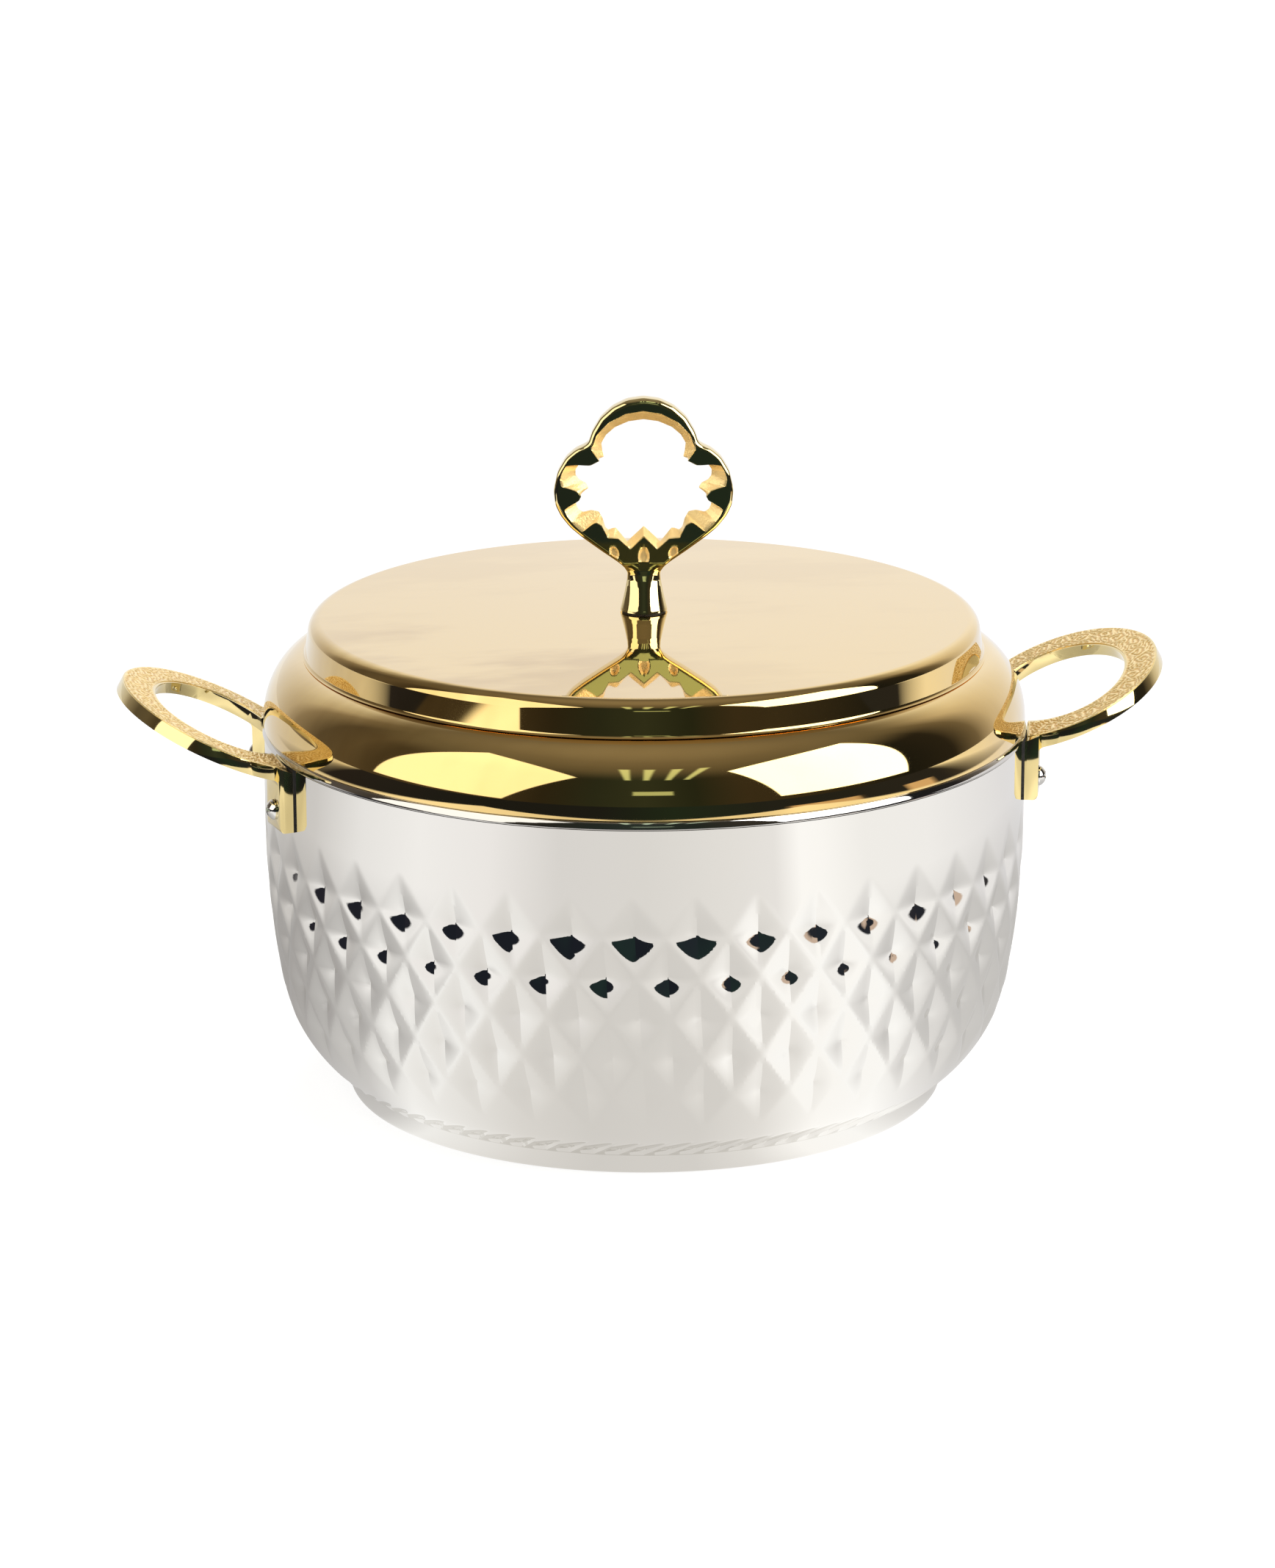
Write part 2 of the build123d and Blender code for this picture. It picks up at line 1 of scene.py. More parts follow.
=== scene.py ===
"""Insulated serving casserole: embossed steel pot, gold lid with a ring knob, two loop handles.

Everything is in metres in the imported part's frame: +Z up, the handles along X, the origin on the
table under the middle of the pot.  The camera stands in front of the -Y side.
"""
from math import atan2, cos, pi, radians, sin

import bmesh
import bpy
import numpy as np
from mathutils import Matrix, Vector


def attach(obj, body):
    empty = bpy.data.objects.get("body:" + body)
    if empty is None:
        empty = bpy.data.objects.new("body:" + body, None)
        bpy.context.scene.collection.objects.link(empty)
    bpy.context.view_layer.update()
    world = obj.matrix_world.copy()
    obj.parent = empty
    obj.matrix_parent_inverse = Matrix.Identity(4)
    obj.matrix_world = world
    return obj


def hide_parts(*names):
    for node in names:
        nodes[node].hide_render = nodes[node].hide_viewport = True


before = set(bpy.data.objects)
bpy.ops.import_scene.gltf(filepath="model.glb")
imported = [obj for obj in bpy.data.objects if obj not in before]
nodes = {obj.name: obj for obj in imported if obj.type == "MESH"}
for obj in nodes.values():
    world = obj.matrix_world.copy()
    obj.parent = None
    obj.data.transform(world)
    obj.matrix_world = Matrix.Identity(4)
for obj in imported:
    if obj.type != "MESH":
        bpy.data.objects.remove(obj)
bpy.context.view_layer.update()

MM = 0.001

# ---------------------------------------------------------------- camera
# A long lens on a tripod a little above the lid, in front of the pot and slightly to its left,
# so that the left handle comes a little nearer.
PICTURE_HEIGHT, FOCAL_PIXELS = 2135, 7514
SENSOR = 36                  # millimetres, as Blender's own camera has
CAMERA_DISTANCE, CAMERA_HEIGHT, CAMERA_LEFT = 1.820, 0.6287, 0.00234
VIEW_TURN, VIEW_TILT, VIEW_ROLL = radians(8.5), radians(16.06), radians(-0.16)
UP = Vector((0, 0, 1))
to_camera = Vector((-sin(VIEW_TURN), -cos(VIEW_TURN), 0))
camera_right = Vector((cos(VIEW_TURN), -sin(VIEW_TURN), 0))
forward = -to_camera * cos(VIEW_TILT) - UP * sin(VIEW_TILT)
camera_up = camera_right.cross(forward)
rolled_right = camera_right * cos(VIEW_ROLL) + camera_up * sin(VIEW_ROLL)
rolled_up = camera_up * cos(VIEW_ROLL) - camera_right * sin(VIEW_ROLL)
camera = bpy.data.objects.new("camera", bpy.data.cameras.new("camera"))
bpy.context.scene.collection.objects.link(camera)
camera.data.lens = FOCAL_PIXELS / PICTURE_HEIGHT * SENSOR
camera.data.clip_start = 0.05
camera_place = to_camera * CAMERA_DISTANCE + UP * CAMERA_HEIGHT - camera_right * CAMERA_LEFT
camera_axes = Matrix((rolled_right, rolled_up, -forward)).transposed().to_4x4()
camera.matrix_world = Matrix.Translation(camera_place) @ camera_axes
bpy.context.scene.camera = camera
bpy.context.scene.view_settings.view_transform = "Standard"


# ---------------------------------------------------------------- studio
# A white table top in front of a white sweep, two softboxes left and right of the camera, and a
# dark room behind the camera with a row of ceiling lights.  Polished metal shows all of it.
def linear(hex_colour):
    """An sRGB colour written as six hex digits, as linear red, green, blue and 1."""
    parts = [int(hex_colour[i : i + 2], 16) / 255 for i in (0, 2, 4)]
    return tuple(p / 12.92 if p <= 0.04045 else ((p + 0.055) / 1.055) ** 2.4 for p in parts) + (1.0,)


def add_node(tree, kind, sockets=None, **settings):
    """Add one shader node with its settings, and give each socket its value or its link.

    A link comes from the output that is given, or from the first output in use of a given node.
    """
    node = tree.nodes.new("ShaderNode" + kind)
    for name, value in settings.items():
        setattr(node, name, value)
    for key, value in (sockets or {}).items():
        if isinstance(value, bpy.types.Node):
            value = next(output for output in value.outputs if output.enabled)
        if isinstance(value, bpy.types.NodeSocket):
            tree.links.new(value, node.inputs[key])
        else:
            node.inputs[key].default_value = value
    return node


def ramp_stops(node, stops, start=0.0, end=1.0):
    """Give a colour ramp its stops, each a place between start and end and a hex colour."""
    elements = node.color_ramp.elements
    while len(elements) < len(stops):
        elements.new(0.5)
    for element, (stop, colour) in zip(elements, stops):
        element.position = (stop - start) / (end - start)
        element.color = linear(colour)
    return node


def round_pot(tree, vector):
    """How far a vector goes towards the camera and to its right, and how far round it points.

    The last is 0 behind the pot, 0.5 in front of it, and 1 behind it again, by the left first.
    """
    toward, rightward = (
        add_node(tree, "VectorMath", {0: vector, 1: axis}, operation="DOT_PRODUCT")
        for axis in (to_camera, camera_right)
    )
    angle = add_node(tree, "Math", {0: rightward, 1: toward}, operation="ARCTAN2")
    share = add_node(tree, "MapRange", {"Value": angle, "From Min": -pi, "From Max": pi})
    return toward, rightward, share


def direction(azimuth, elevation):
    """The unit vector at an azimuth to the right of the camera and an elevation, in degrees."""
    a, e = radians(azimuth), radians(elevation)
    flat = to_camera * cos(a) + camera_right * sin(a)
    return flat * cos(e) + UP * sin(e)


world = bpy.data.worlds.new("studio_room")
bpy.context.scene.world = world
world.use_nodes = True
sky = world.node_tree
sky.nodes.clear()
ray = add_node(sky, "TexCoord").outputs["Generated"]
round_room = round_pot(sky, ray)[2]
height = add_node(sky, "SeparateXYZ", {0: ray}).outputs["Z"]

# the room at eye level, by the degrees to the right of the camera, and its ceiling by height
ROOM = (
    (-180, "F8F6F6"), (-165, "EFEDEC"), (-150, "DCD9D4"), (-138, "C4BEB6"), (-130, "90877C"),
    (-115, "595148"), (-100, "5F564B"), (-88, "4A4238"), (-45, "403930"), (-30, "2E2B24"),
    (-15, "2B312B"), (0, "343B33"), (15, "282E27"), (30, "3D372E"), (45, "3A352D"),
    (85, "1D1E1E"), (105, "2B2825"), (118, "736A5E"), (130, "CFC6BA"), (140, "E4DDD2"),
    (150, "EEE9E0"), (165, "FBF8F3"), (180, "F8F6F6"),
)  # fmt: skip
CEILING = ((0.80, "6E675C"), (0.90, "7B7368"), (1.0, "8F877C"))
WALL_END, CEILING_START = sin(radians(33)), sin(radians(56))
room = ramp_stops(add_node(sky, "ValToRGB", {"Fac": round_room}), ROOM, -180, 180)
ceiling = ramp_stops(add_node(sky, "ValToRGB", {"Fac": height}), CEILING)
above = add_node(
    sky,
    "MapRange",
    {"Value": height, "From Min": WALL_END, "From Max": CEILING_START},
    interpolation_type="SMOOTHSTEP",
)
surroundings = add_node(sky, "Mix", {0: above, 6: room, 7: ceiling}, data_type="RGBA")


def with_light(base, corners, softness, colour, strength):
    """Add a flat panel of light, seen from the pot, to what is seen without it.

    corners go round the panel, each an azimuth and an elevation.  Each side of the panel and the
    pot span a plane, and a direction lies inside when it is on the inner side of all four.
    """
    points = [direction(*corner) for corner in corners]
    middle = sum(points, Vector())
    least = 1.0
    for first, second in zip(points, points[1:] + points[:1]):
        normal = first.cross(second).normalized()
        if normal.dot(middle) < 0:
            normal.negate()
        side = add_node(sky, "VectorMath", {0: ray, 1: normal}, operation="DOT_PRODUCT")
        least = add_node(sky, "Math", {0: least, 1: side}, operation="MINIMUM")
    mask = add_node(
        sky, "MapRange", {"Value": least, "From Max": softness}, interpolation_type="SMOOTHSTEP"
    )
    glow = add_node(sky, "VectorMath", {0: linear(colour)[:3], "Scale": strength}, operation="SCALE")
    return add_node(sky, "VectorMath", {0: glow, 1: mask, 2: base}, operation="MULTIPLY_ADD")


LEFT_SOFTBOX = ((-73, 57), (-22, 36), (-42, 0), (-87, 1))
RIGHT_SOFTBOX = ((29, 43), (94, 54), (84, 2), (40, 3))
LOW_TUBE = ((-4, 13), (9, 13), (9, 19), (-4, 19))
surroundings = with_light(surroundings, LEFT_SOFTBOX, 0.012, "FFFBF2", 1.45)
surroundings = with_light(surroundings, RIGHT_SOFTBOX, 0.012, "FFFFFF", 3.4)
for far_end, near_end in ((-7, -10), (-1, 0), (6, 11), (12, 22)):
    tube = ((far_end, 34), (far_end + 3, 34), (near_end + 5, 52), (near_end - 1, 52))
    surroundings = with_light(surroundings, tube, 0.02, "E8FFD8", 0.75)
surroundings = with_light(surroundings, LOW_TUBE, 0.02, "E8FFD8", 0.6)
WHITE = (1, 1, 1, 1)
seen_directly = add_node(sky, "LightPath").outputs["Is Camera Ray"]
room_light = add_node(sky, "Background", {"Color": surroundings})
sweep = add_node(sky, "Background", {"Color": WHITE})
behind = add_node(sky, "MixShader", {0: seen_directly, 1: room_light, 2: sweep})
add_node(sky, "OutputWorld", {"Surface": behind})


def new_material(name):
    """A node material with only a texture coordinate in it: the material, its tree and the place."""
    material = bpy.data.materials.new(name)
    material.use_nodes = True
    tree = material.node_tree
    tree.nodes.clear()
    return material, tree, add_node(tree, "TexCoord").outputs["Object"]


# The table is matt white card.  What polished metal shows of it ends where the table ends: at
# TABLE_FRONT towards the camera, and at TABLE_SIDE to either side of all but its far part.
TABLE_FRONT, TABLE_FRONT_EDGE = 0.565, 0.015
TABLE_SIDE, TABLE_SIDE_EDGE = 0.54, 0.04
SIDE_START, SIDE_FULL = -0.55, -0.1
card, tree, place = new_material("white_table_card")
out_front, to_right, turn = round_pot(tree, place)
past_front = add_node(
    tree,
    "MapRange",
    {"Value": out_front, "From Min": TABLE_FRONT, "From Max": TABLE_FRONT + TABLE_FRONT_EDGE},
)
to_side = add_node(tree, "Math", {0: to_right}, operation="ABSOLUTE")
past_side = add_node(
    tree,
    "MapRange",
    {"Value": to_side, "From Min": TABLE_SIDE, "From Max": TABLE_SIDE + TABLE_SIDE_EDGE},
)
beside = add_node(
    tree, "MapRange", {"Value": out_front, "From Min": SIDE_START, "From Max": SIDE_FULL}
)
past_side = add_node(tree, "Math", {0: past_side, 1: beside}, operation="MULTIPLY")
off_table = add_node(tree, "Math", {0: past_front, 1: past_side}, operation="MAXIMUM")

# how light the card looks to mirrors, by the degrees to the right of the camera, far from the pot
# and near it: a painted glow that stands in for the studio's light, darker near the pot as a
# painted shadow of the pot
TABLE_GLOW = 1.32
TABLE_LIGHT = (
    (-180, "E3E2E1"), (-150, "D0CFCD"), (-123, "BEBBB8"), (-103, "C7C4C1"), (-82, "E2E0DE"),
    (-62, "ECEAE8"), (-41, "E7E4E2"), (-22, "D4D1CE"), (0, "D6D3CF"), (22, "DEDBD7"),
    (34, "E2DFDC"), (41, "F8F6F3"), (47, "F6F4F1"), (60, "ECEAE7"), (82, "EBE9E7"), (103, "E2E0DF"),
    (123, "D8D6D6"), (144, "D2D1D2"), (164, "DAD9DA"), (180, "E3E2E1"),
)  # fmt: skip
NEAR_LIGHT = (
    (-180, "C4C1BD"), (-150, "B0ADAA"), (-125, "9C9A98"), (-100, "A09D9B"), (-80, "B2B0AE"),
    (-64, "C2C0BE"), (-50, "EBEAE8"), (-38, "E2E0DD"), (-24, "D4D1CD"), (-10, "CCC9C5"), (0, "CECBC7"),
    (10, "CFCCC8"), (22, "DCD9D5"), (34, "F6F4F1"), (48, "F6F5F3"), (62, "DCDAD8"), (76, "C6C4C2"),
    (92, "C0BEBC"), (125, "B6B4B2"), (150, "BCBAB8"), (180, "C4C1BD"),
)  # fmt: skip
NEAR_END, FAR_START = 0.26, 0.44
far_card = ramp_stops(add_node(tree, "ValToRGB", {"Fac": turn}), TABLE_LIGHT, -180, 180)
near_card = ramp_stops(add_node(tree, "ValToRGB", {"Fac": turn}), NEAR_LIGHT, -180, 180)
from_pot = add_node(tree, "VectorMath", {0: place}, operation="LENGTH")
away = add_node(tree, "MapRange", {"Value": from_pot, "From Min": NEAR_END, "From Max": FAR_START})
lit_card = add_node(tree, "Mix", {0: away, 6: near_card, 7: far_card}, data_type="RGBA")

# past the table it shows the dark floor of the room, and to the right two warm wooden legs
ROOM_FLOOR = (
    (-180, "8A8378"), (-125, "625A50"), (-108, "26242A"), (-60, "1B1D24"), (-12, "191C22"),
    (8, "1D2A28"), (34, "20242A"), (92, "25252A"), (125, "5A544C"), (180, "8A8378"),
)  # fmt: skip
WOODEN_LEGS = (
    (0, "000000"), (39, "000000"), (41, "FFFFFF"), (60, "FFFFFF"), (62, "000000"), (76, "000000"),
    (78, "FFFFFF"), (86, "FFFFFF"), (88, "000000"),
)  # fmt: skip
LEGS_END, LEGS_EDGE = 0.90, 0.02
room_floor = ramp_stops(add_node(tree, "ValToRGB", {"Fac": turn}), ROOM_FLOOR, -180, 180)
legs = ramp_stops(add_node(tree, "ValToRGB", {"Fac": turn}), WOODEN_LEGS, -180, 180)
near_legs = add_node(
    tree,
    "MapRange",
    {"Value": from_pot, "From Min": LEGS_END + LEGS_EDGE, "From Max": LEGS_END - LEGS_EDGE},
)
legs = add_node(tree, "Math", {0: legs, 1: near_legs}, operation="MULTIPLY")
room_floor = add_node(tree, "Mix", {0: legs, 6: room_floor, 7: linear("C2AA96")}, data_type="RGBA")
mirrored = add_node(tree, "Mix", {0: off_table, 6: lit_card, 7: room_floor}, data_type="RGBA")

# the card is matt to diffuse light, evenly white to the camera, and to mirrors it glows with the
# painted light above
SWEEP_GLOW, LIFT = 0.80, 0.24
SHADE, SHADE_NEAR, SHADE_FAR = 0.3, 0.4, 1.2
path = add_node(tree, "LightPath").outputs
matt = add_node(tree, "BsdfDiffuse", {"Color": linear("F0EFED")})
glow = add_node(tree, "Emission", {"Color": WHITE, "Strength": SWEEP_GLOW})
lift = add_node(tree, "Emission", {"Color": WHITE, "Strength": LIFT})
near_share = add_node(
    tree,
    "MapRange",
    {"Value": from_pot, "From Min": SHADE_NEAR, "From Max": SHADE_FAR, "To Min": SHADE, "To Max": 0.0},
)
seen = add_node(tree, "MixShader", {0: near_share, 1: glow, 2: matt})
seen = add_node(tree, "AddShader", {0: seen, 1: lift})
reflected = add_node(tree, "Emission", {"Color": mirrored, "Strength": TABLE_GLOW})
shown = matt
for kind, look in (("Camera", seen), ("Glossy", reflected), ("Transmission", reflected)):
    shown = add_node(tree, "MixShader", {0: path[f"Is {kind} Ray"], 1: shown, 2: look})
add_node(tree, "OutputMaterial", {"Surface": shown})


def mesh_object(name, points, faces, material):
    """A mesh object at the origin from lists of points and faces."""
    mesh = bpy.data.meshes.new(name)
    mesh.from_pydata(points, [], faces)
    mesh.update()
    mesh.shade_smooth()
    mesh.materials.append(material)
    piece = bpy.data.objects.new(name, mesh)
    bpy.context.scene.collection.objects.link(piece)
    return piece


FLOOR_HALF = 8.0
corners = FLOOR_HALF * np.array([(-1, -1, 0), (1, -1, 0), (1, 1, 0), (-1, 1, 0)])
floor = mesh_object("table_top", corners.tolist(), [(0, 1, 2, 3)], card)

# three large lamps, each at an azimuth and an elevation, light what is not a mirror
LAMP_SIZE, LAMP_DISTANCE = 0.9, 1.3
LAMPS = (("lamp_left", -60, 42, 9.0), ("lamp_right", 62, 42, 12.0), ("lamp_top", 170, 70, 9.0))
for name, azimuth, elevation, power in LAMPS:
    lamp = bpy.data.objects.new(name, bpy.data.lights.new(name, "AREA"))
    bpy.context.scene.collection.objects.link(lamp)
    lamp.data.energy = power
    lamp.data.size = LAMP_SIZE
    lamp.visible_glossy = False
    lamp.location = direction(azimuth, elevation) * LAMP_DISTANCE
    lamp.rotation_euler = lamp.location.to_track_quat("Z", "Y").to_euler()


# ---------------------------------------------------------------- outer shell
# One cup drawn from 0.8 mm stainless steel.  Five staggered rows of lozenge pits and a band of
# slanted flutes are pressed into its side, and it is buffed to a mirror.
WALL = 130.0
SHEET = 0.8
SHELL_TOP = 126.4
BELLY_START, BELLY_RADIUS = 95.0, 313.0
HEEL_START, HEEL_RADIUS = 40.0, 50.0
STEP_LEVEL = 6.6
CUP_WALL = 101.3
CUP_FLOOR = 2.7
PLUG_HOLE = 6.0
PITS_ROUND = 40
PIT_PITCH = 14.35            # from row to row, along the wall
FIRST_ROW = 4.4              # below the start of the belly
PIT_DEPTHS = (1.75, 2.35, 2.15, 2.4, 2.4)         # of each row, from the top
HOLLOW = 0.55                # how much the slopes of a pit steepen towards its middle
RIDGE = 0.06                 # rounding of the ridges, as a share of the half pit
FADE = 0.60                  # how fast the level crease of a pit goes soft to either side
PIT_LEAN = 0.04              # how far the pits lean to the right from row to row, in pits
FIRST_PIT = -1.6             # degrees from the camera's side to a pit of the first row
FLUTES_ROUND = 80
FLUTE_TOP, FLUTE_BOTTOM = 14.6, 7.2
FLUTE_DEPTH = 1.3
FLUTE_DEEPEST = 0.89         # where a flute is deepest, as a share of its width
FLUTE_RUN_IN, FLUTE_RUN_OUT = 0.15, 0.7           # shares of its height, at its foot and its top
FLUTE_LEAN = 5.2             # degrees that a flute moves round from its foot to its top
CLEARANCE = 2.6              # how far the shell's inner skin moves in to stay clear of the pattern
CLEARANCE_MIDDLE, CLEARANCE_REACH, CLEARANCE_POWER = 33, 63, 0.3
CELLS = 18                   # grid steps across one pit, so that nine of them make a flute
ROW_CELLS = 15               # grid steps in half the height of a pit

belly_turn = np.arcsin((BELLY_START - HEEL_START) / BELLY_RADIUS)
belly_centre = (WALL - BELLY_RADIUS, BELLY_START)
heel_centre = (
    belly_centre[0] + (BELLY_RADIUS - HEEL_RADIUS) * np.cos(belly_turn),
    belly_centre[1] - (BELLY_RADIUS - HEEL_RADIUS) * np.sin(belly_turn),
)
heel_end = np.arcsin((heel_centre[1] - STEP_LEVEL) / HEEL_RADIUS)
SIDE_LENGTH = BELLY_RADIUS * belly_turn + HEEL_RADIUS * (heel_end - belly_turn)


def side(down):
    """The pot's side in section: radius, height and the outward normal's two parts.

    down is the length along the side below the start of the belly.  Above it the side is upright,
    then it is a wide arc, and then the tighter arc of the heel, each on the other's tangent.
    """
    turn = np.where(
        down < BELLY_RADIUS * belly_turn,
        down / BELLY_RADIUS,
        belly_turn + (down - BELLY_RADIUS * belly_turn) / HEEL_RADIUS,
    )
    turn = np.clip(turn, 0, None)
    on_belly = turn < belly_turn
    bend = np.where(on_belly, BELLY_RADIUS, HEEL_RADIUS)
    radius = np.where(on_belly, belly_centre[0], heel_centre[0]) + bend * np.cos(turn)
    level = np.where(on_belly, belly_centre[1], heel_centre[1]) - bend * np.sin(turn)
    level = np.where(down < 0, BELLY_START - down, level)
    return radius, level, np.cos(turn), -np.sin(turn)


def up_the_flutes(level):
    """0 at the foot of the flutes and 1 at their top."""
    return (level - FLUTE_BOTTOM) / (FLUTE_TOP - FLUTE_BOTTOM)


def pressed_in(down, angle, level):
    """How deep the pattern is pressed at a place on the side.

    A pit is deepest in its middle and rises to its four ridges with the sum of the distances along
    the side and round it, each as a share of half the pit: a pyramid on a lozenge, with its slopes
    a little hollow and its ridges rounded.  Its upright crease is sharp, and its level crease is
    rounded more and more to either side.  Flutes are saw-tooth grooves that run out upwards.  Both
    lean to the right, because each row of the grid is turned round a little (see lean).
    """
    rows = (down - FIRST_ROW) / PIT_PITCH
    across = angle * PITS_ROUND / (2 * pi)
    pressed = np.zeros(np.broadcast(down, angle).shape)
    for row, pit_depth in enumerate(PIT_DEPTHS):
        x = (across + row / 2) % 1.0
        x = np.minimum(x, 1 - x) * 2
        y = np.abs(rows - row)
        blunt = FADE * x * (1 - x) + 1e-6
        rise = np.hypot(y, blunt) - blunt
        full_rise = np.hypot(1 - x, blunt) - blunt + 1e-9
        slope = np.clip(1 - x - (1 - x) * rise / full_rise, 0, 1)
        rounded = np.where(slope < RIDGE, slope**2 / (2 * RIDGE), slope - RIDGE / 2)
        pressed = np.maximum(pressed, pit_depth * rounded * (1 - HOLLOW + HOLLOW * rounded))
    flute = angle / (2 * pi) * FLUTES_ROUND % 1.0
    flute = np.minimum(flute / FLUTE_DEEPEST, (1 - flute) / (1 - FLUTE_DEEPEST))
    share_up = up_the_flutes(level)
    fade = np.clip(share_up / FLUTE_RUN_IN, 0, 1) * np.clip((1 - share_up) / FLUTE_RUN_OUT, 0, 1)
    return pressed + FLUTE_DEPTH * flute * fade


def closed_grid(name, points, material, attribute=None, loop_rows=True):
    """A mesh from a grid of points whose columns close round, and whose rows may close as well.

    attribute is a name and a value for each point, which the material can read.
    """
    rows, columns = points.shape[:2]
    index = np.arange(rows * columns).reshape(rows, columns)
    first = index if loop_rows else index[:-1]
    second = np.roll(index, -1, 0) if loop_rows else index[1:]
    quads = np.stack([first, second, np.roll(second, -1, 1), np.roll(first, -1, 1)], axis=-1)
    piece = mesh_object(name, points.reshape(-1, 3).tolist(), quads.reshape(-1, 4).tolist(), material)
    if attribute:
        values = piece.data.attributes.new(attribute[0], "FLOAT", "POINT")
        at_points = np.broadcast_to(attribute[1], (rows, columns)).astype(np.float32)
        values.data.foreach_set("value", at_points.ravel())
    close_up(piece)
    return piece


def revolved(name, radius, level, material, around=256, turn=0.0):
    """A closed profile turned round the pot's axis: radius and level are arrays in millimetres.

    Each may be one row per profile point, or a grid with one column per step round the axis.
    turn moves each row round by an angle of its own.  Points on the axis become one.
    """
    radius, level = np.asarray(radius, float), np.asarray(level, float)
    if radius.ndim == 1:
        radius, level = radius[:, None], level[:, None]
    angle = np.arange(around) * 2 * pi / around + np.reshape(turn, (-1, 1))
    grid = np.stack(
        np.broadcast_arrays(radius * np.cos(angle), radius * np.sin(angle), level + 0 * angle), axis=-1
    )
    return closed_grid(name, grid * MM, material)


def close_up(piece, distance=2e-6):
    """Join points that lie together, drop what that leaves without area, and turn faces outwards."""
    work = bmesh.new()
    work.from_mesh(piece.data)
    bmesh.ops.remove_doubles(work, verts=work.verts, dist=distance)
    bmesh.ops.dissolve_degenerate(work, edges=work.edges, dist=distance / 2)
    bmesh.ops.recalc_face_normals(work, faces=work.faces)
    for face in work.faces:
        face.smooth = True
    work.to_mesh(piece.data)
    work.free()


def crease(piece, degrees_apart=30):
    """Keep edges crisp where two faces meet at more than the given angle."""
    piece.data.set_sharp_from_angle(angle=radians(degrees_apart))


def finish_surface(tree, sockets, metallic=1.0):
    """Finish a material with one principled shader, with these values and links in its sockets."""
    shader = add_node(tree, "BsdfPrincipled", {"Metallic": metallic, **sockets})
    add_node(tree, "OutputMaterial", {"Surface": shader})


# Stainless steel, mechanically polished: nearly neutral, a little warm, with only faint waviness
# left by the buffing wheel, which runs round the pot.
steel, tree, place = new_material("mirror_polished_stainless_steel")
stretched = add_node(tree, "Mapping", {"Vector": place, "Scale": (14, 14, 2.5)})
waves = add_node(tree, "TexNoise", {"Vector": stretched, "Scale": 1.0, "Detail": 1.5})
wavy = add_node(tree, "Bump", {"Height": waves, "Strength": 0.35, "Distance": 0.0006})
finish_surface(tree, {"Base Color": linear("E5E4E1"), "Roughness": 0.02, "Normal": wavy})

around = PITS_ROUND * CELLS
angle = np.arange(around) * 2 * pi / around
camera_angle = atan2(to_camera.y, to_camera.x)
pattern_angle = (angle - camera_angle - radians(FIRST_PIT))[None, :]
step = PIT_PITCH / ROW_CELLS
row_down = FIRST_ROW + np.arange(-ROW_CELLS - 2, ROW_CELLS * len(PIT_DEPTHS) + 3) * step
flute_down = np.linspace(row_down[-1] + step, SIDE_LENGTH, 20)
top_down = BELLY_START - SHELL_TOP
down = np.concatenate([[top_down, top_down + 8], row_down, flute_down])
outer_radius, outer_level, normal_out, normal_up = side(down[:, None])
pressed = pressed_in(down[:, None], pattern_angle, outer_level)
outer_radius, outer_level = outer_radius - pressed * normal_out, outer_level - pressed * normal_up
inner_down = np.linspace(top_down, SIDE_LENGTH - SHEET, 12)[::-1]
inside_radius, inside_level, inside_out, inside_up = side(inner_down)
behind_pattern = np.clip(1 - np.abs(inner_down - CLEARANCE_MIDDLE) / CLEARANCE_REACH, 0, 1)
inset = SHEET + CLEARANCE * behind_pattern**CLEARANCE_POWER
inner_radius = (inside_radius - inset * inside_out)[:, None]
inner_level = (inside_level - inset * inside_up)[:, None]
cup = np.array(
    [(CUP_WALL, STEP_LEVEL), (CUP_WALL, CUP_FLOOR), (PLUG_HOLE, CUP_FLOOR),
     (PLUG_HOLE, CUP_FLOOR + SHEET), (CUP_WALL - SHEET, CUP_FLOOR + SHEET),
     (CUP_WALL - SHEET, STEP_LEVEL + SHEET)]
)  # fmt: skip
spread = np.ones(around)


def lean(down):
    """How far round the pattern has moved at a length down the side, in radians."""
    rows = np.clip((down - FIRST_ROW) / PIT_PITCH, -1, len(PIT_DEPTHS))
    flutes = np.clip(up_the_flutes(side(down)[1]), 0, 1) - 1
    return rows * PIT_LEAN * 2 * pi / PITS_ROUND + flutes * radians(FLUTE_LEAN)


shell = revolved(
    "embossed_shell",
    np.vstack([outer_radius, cup[:, :1] * spread, inner_radius * spread]),
    np.vstack([outer_level, cup[:, 1:] * spread, inner_level * spread]),
    steel,
    around,
    np.concatenate([lean(down), np.full(len(cup), lean(SIDE_LENGTH)), lean(inner_down)]),
)
crease(shell, 11)
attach(shell, "pot")
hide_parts("outer_shell")


# ---------------------------------------------------------------- base cap
# A dish pressed from 1 mm stainless steel, polished like the shell and fixed under it.  The pot
# stands on its flat ring, and its middle is lifted clear of the table.
CAP_RADIUS, CAP_HEIGHT, CAP_SHEET, CAP_EDGE = 102.45, 6.5, 1.0, 2.0
CAP_RECESS, CAP_RING = 1.6, 9.0


def arc(centre, radius, start, end, steps):
    """Points on an arc in the section plane, from start to end in degrees, both ends with them."""
    turn = np.radians(np.linspace(start, end, steps))
    return np.stack([centre[0] + radius * np.cos(turn), centre[1] + radius * np.sin(turn)], axis=-1)


def section(*runs):
    """Join points and runs of points into one profile, as an array of radii and one of levels."""
    joined = np.vstack([np.atleast_2d(np.asarray(run, float)) for run in runs])
    return joined[:, 0], joined[:, 1]


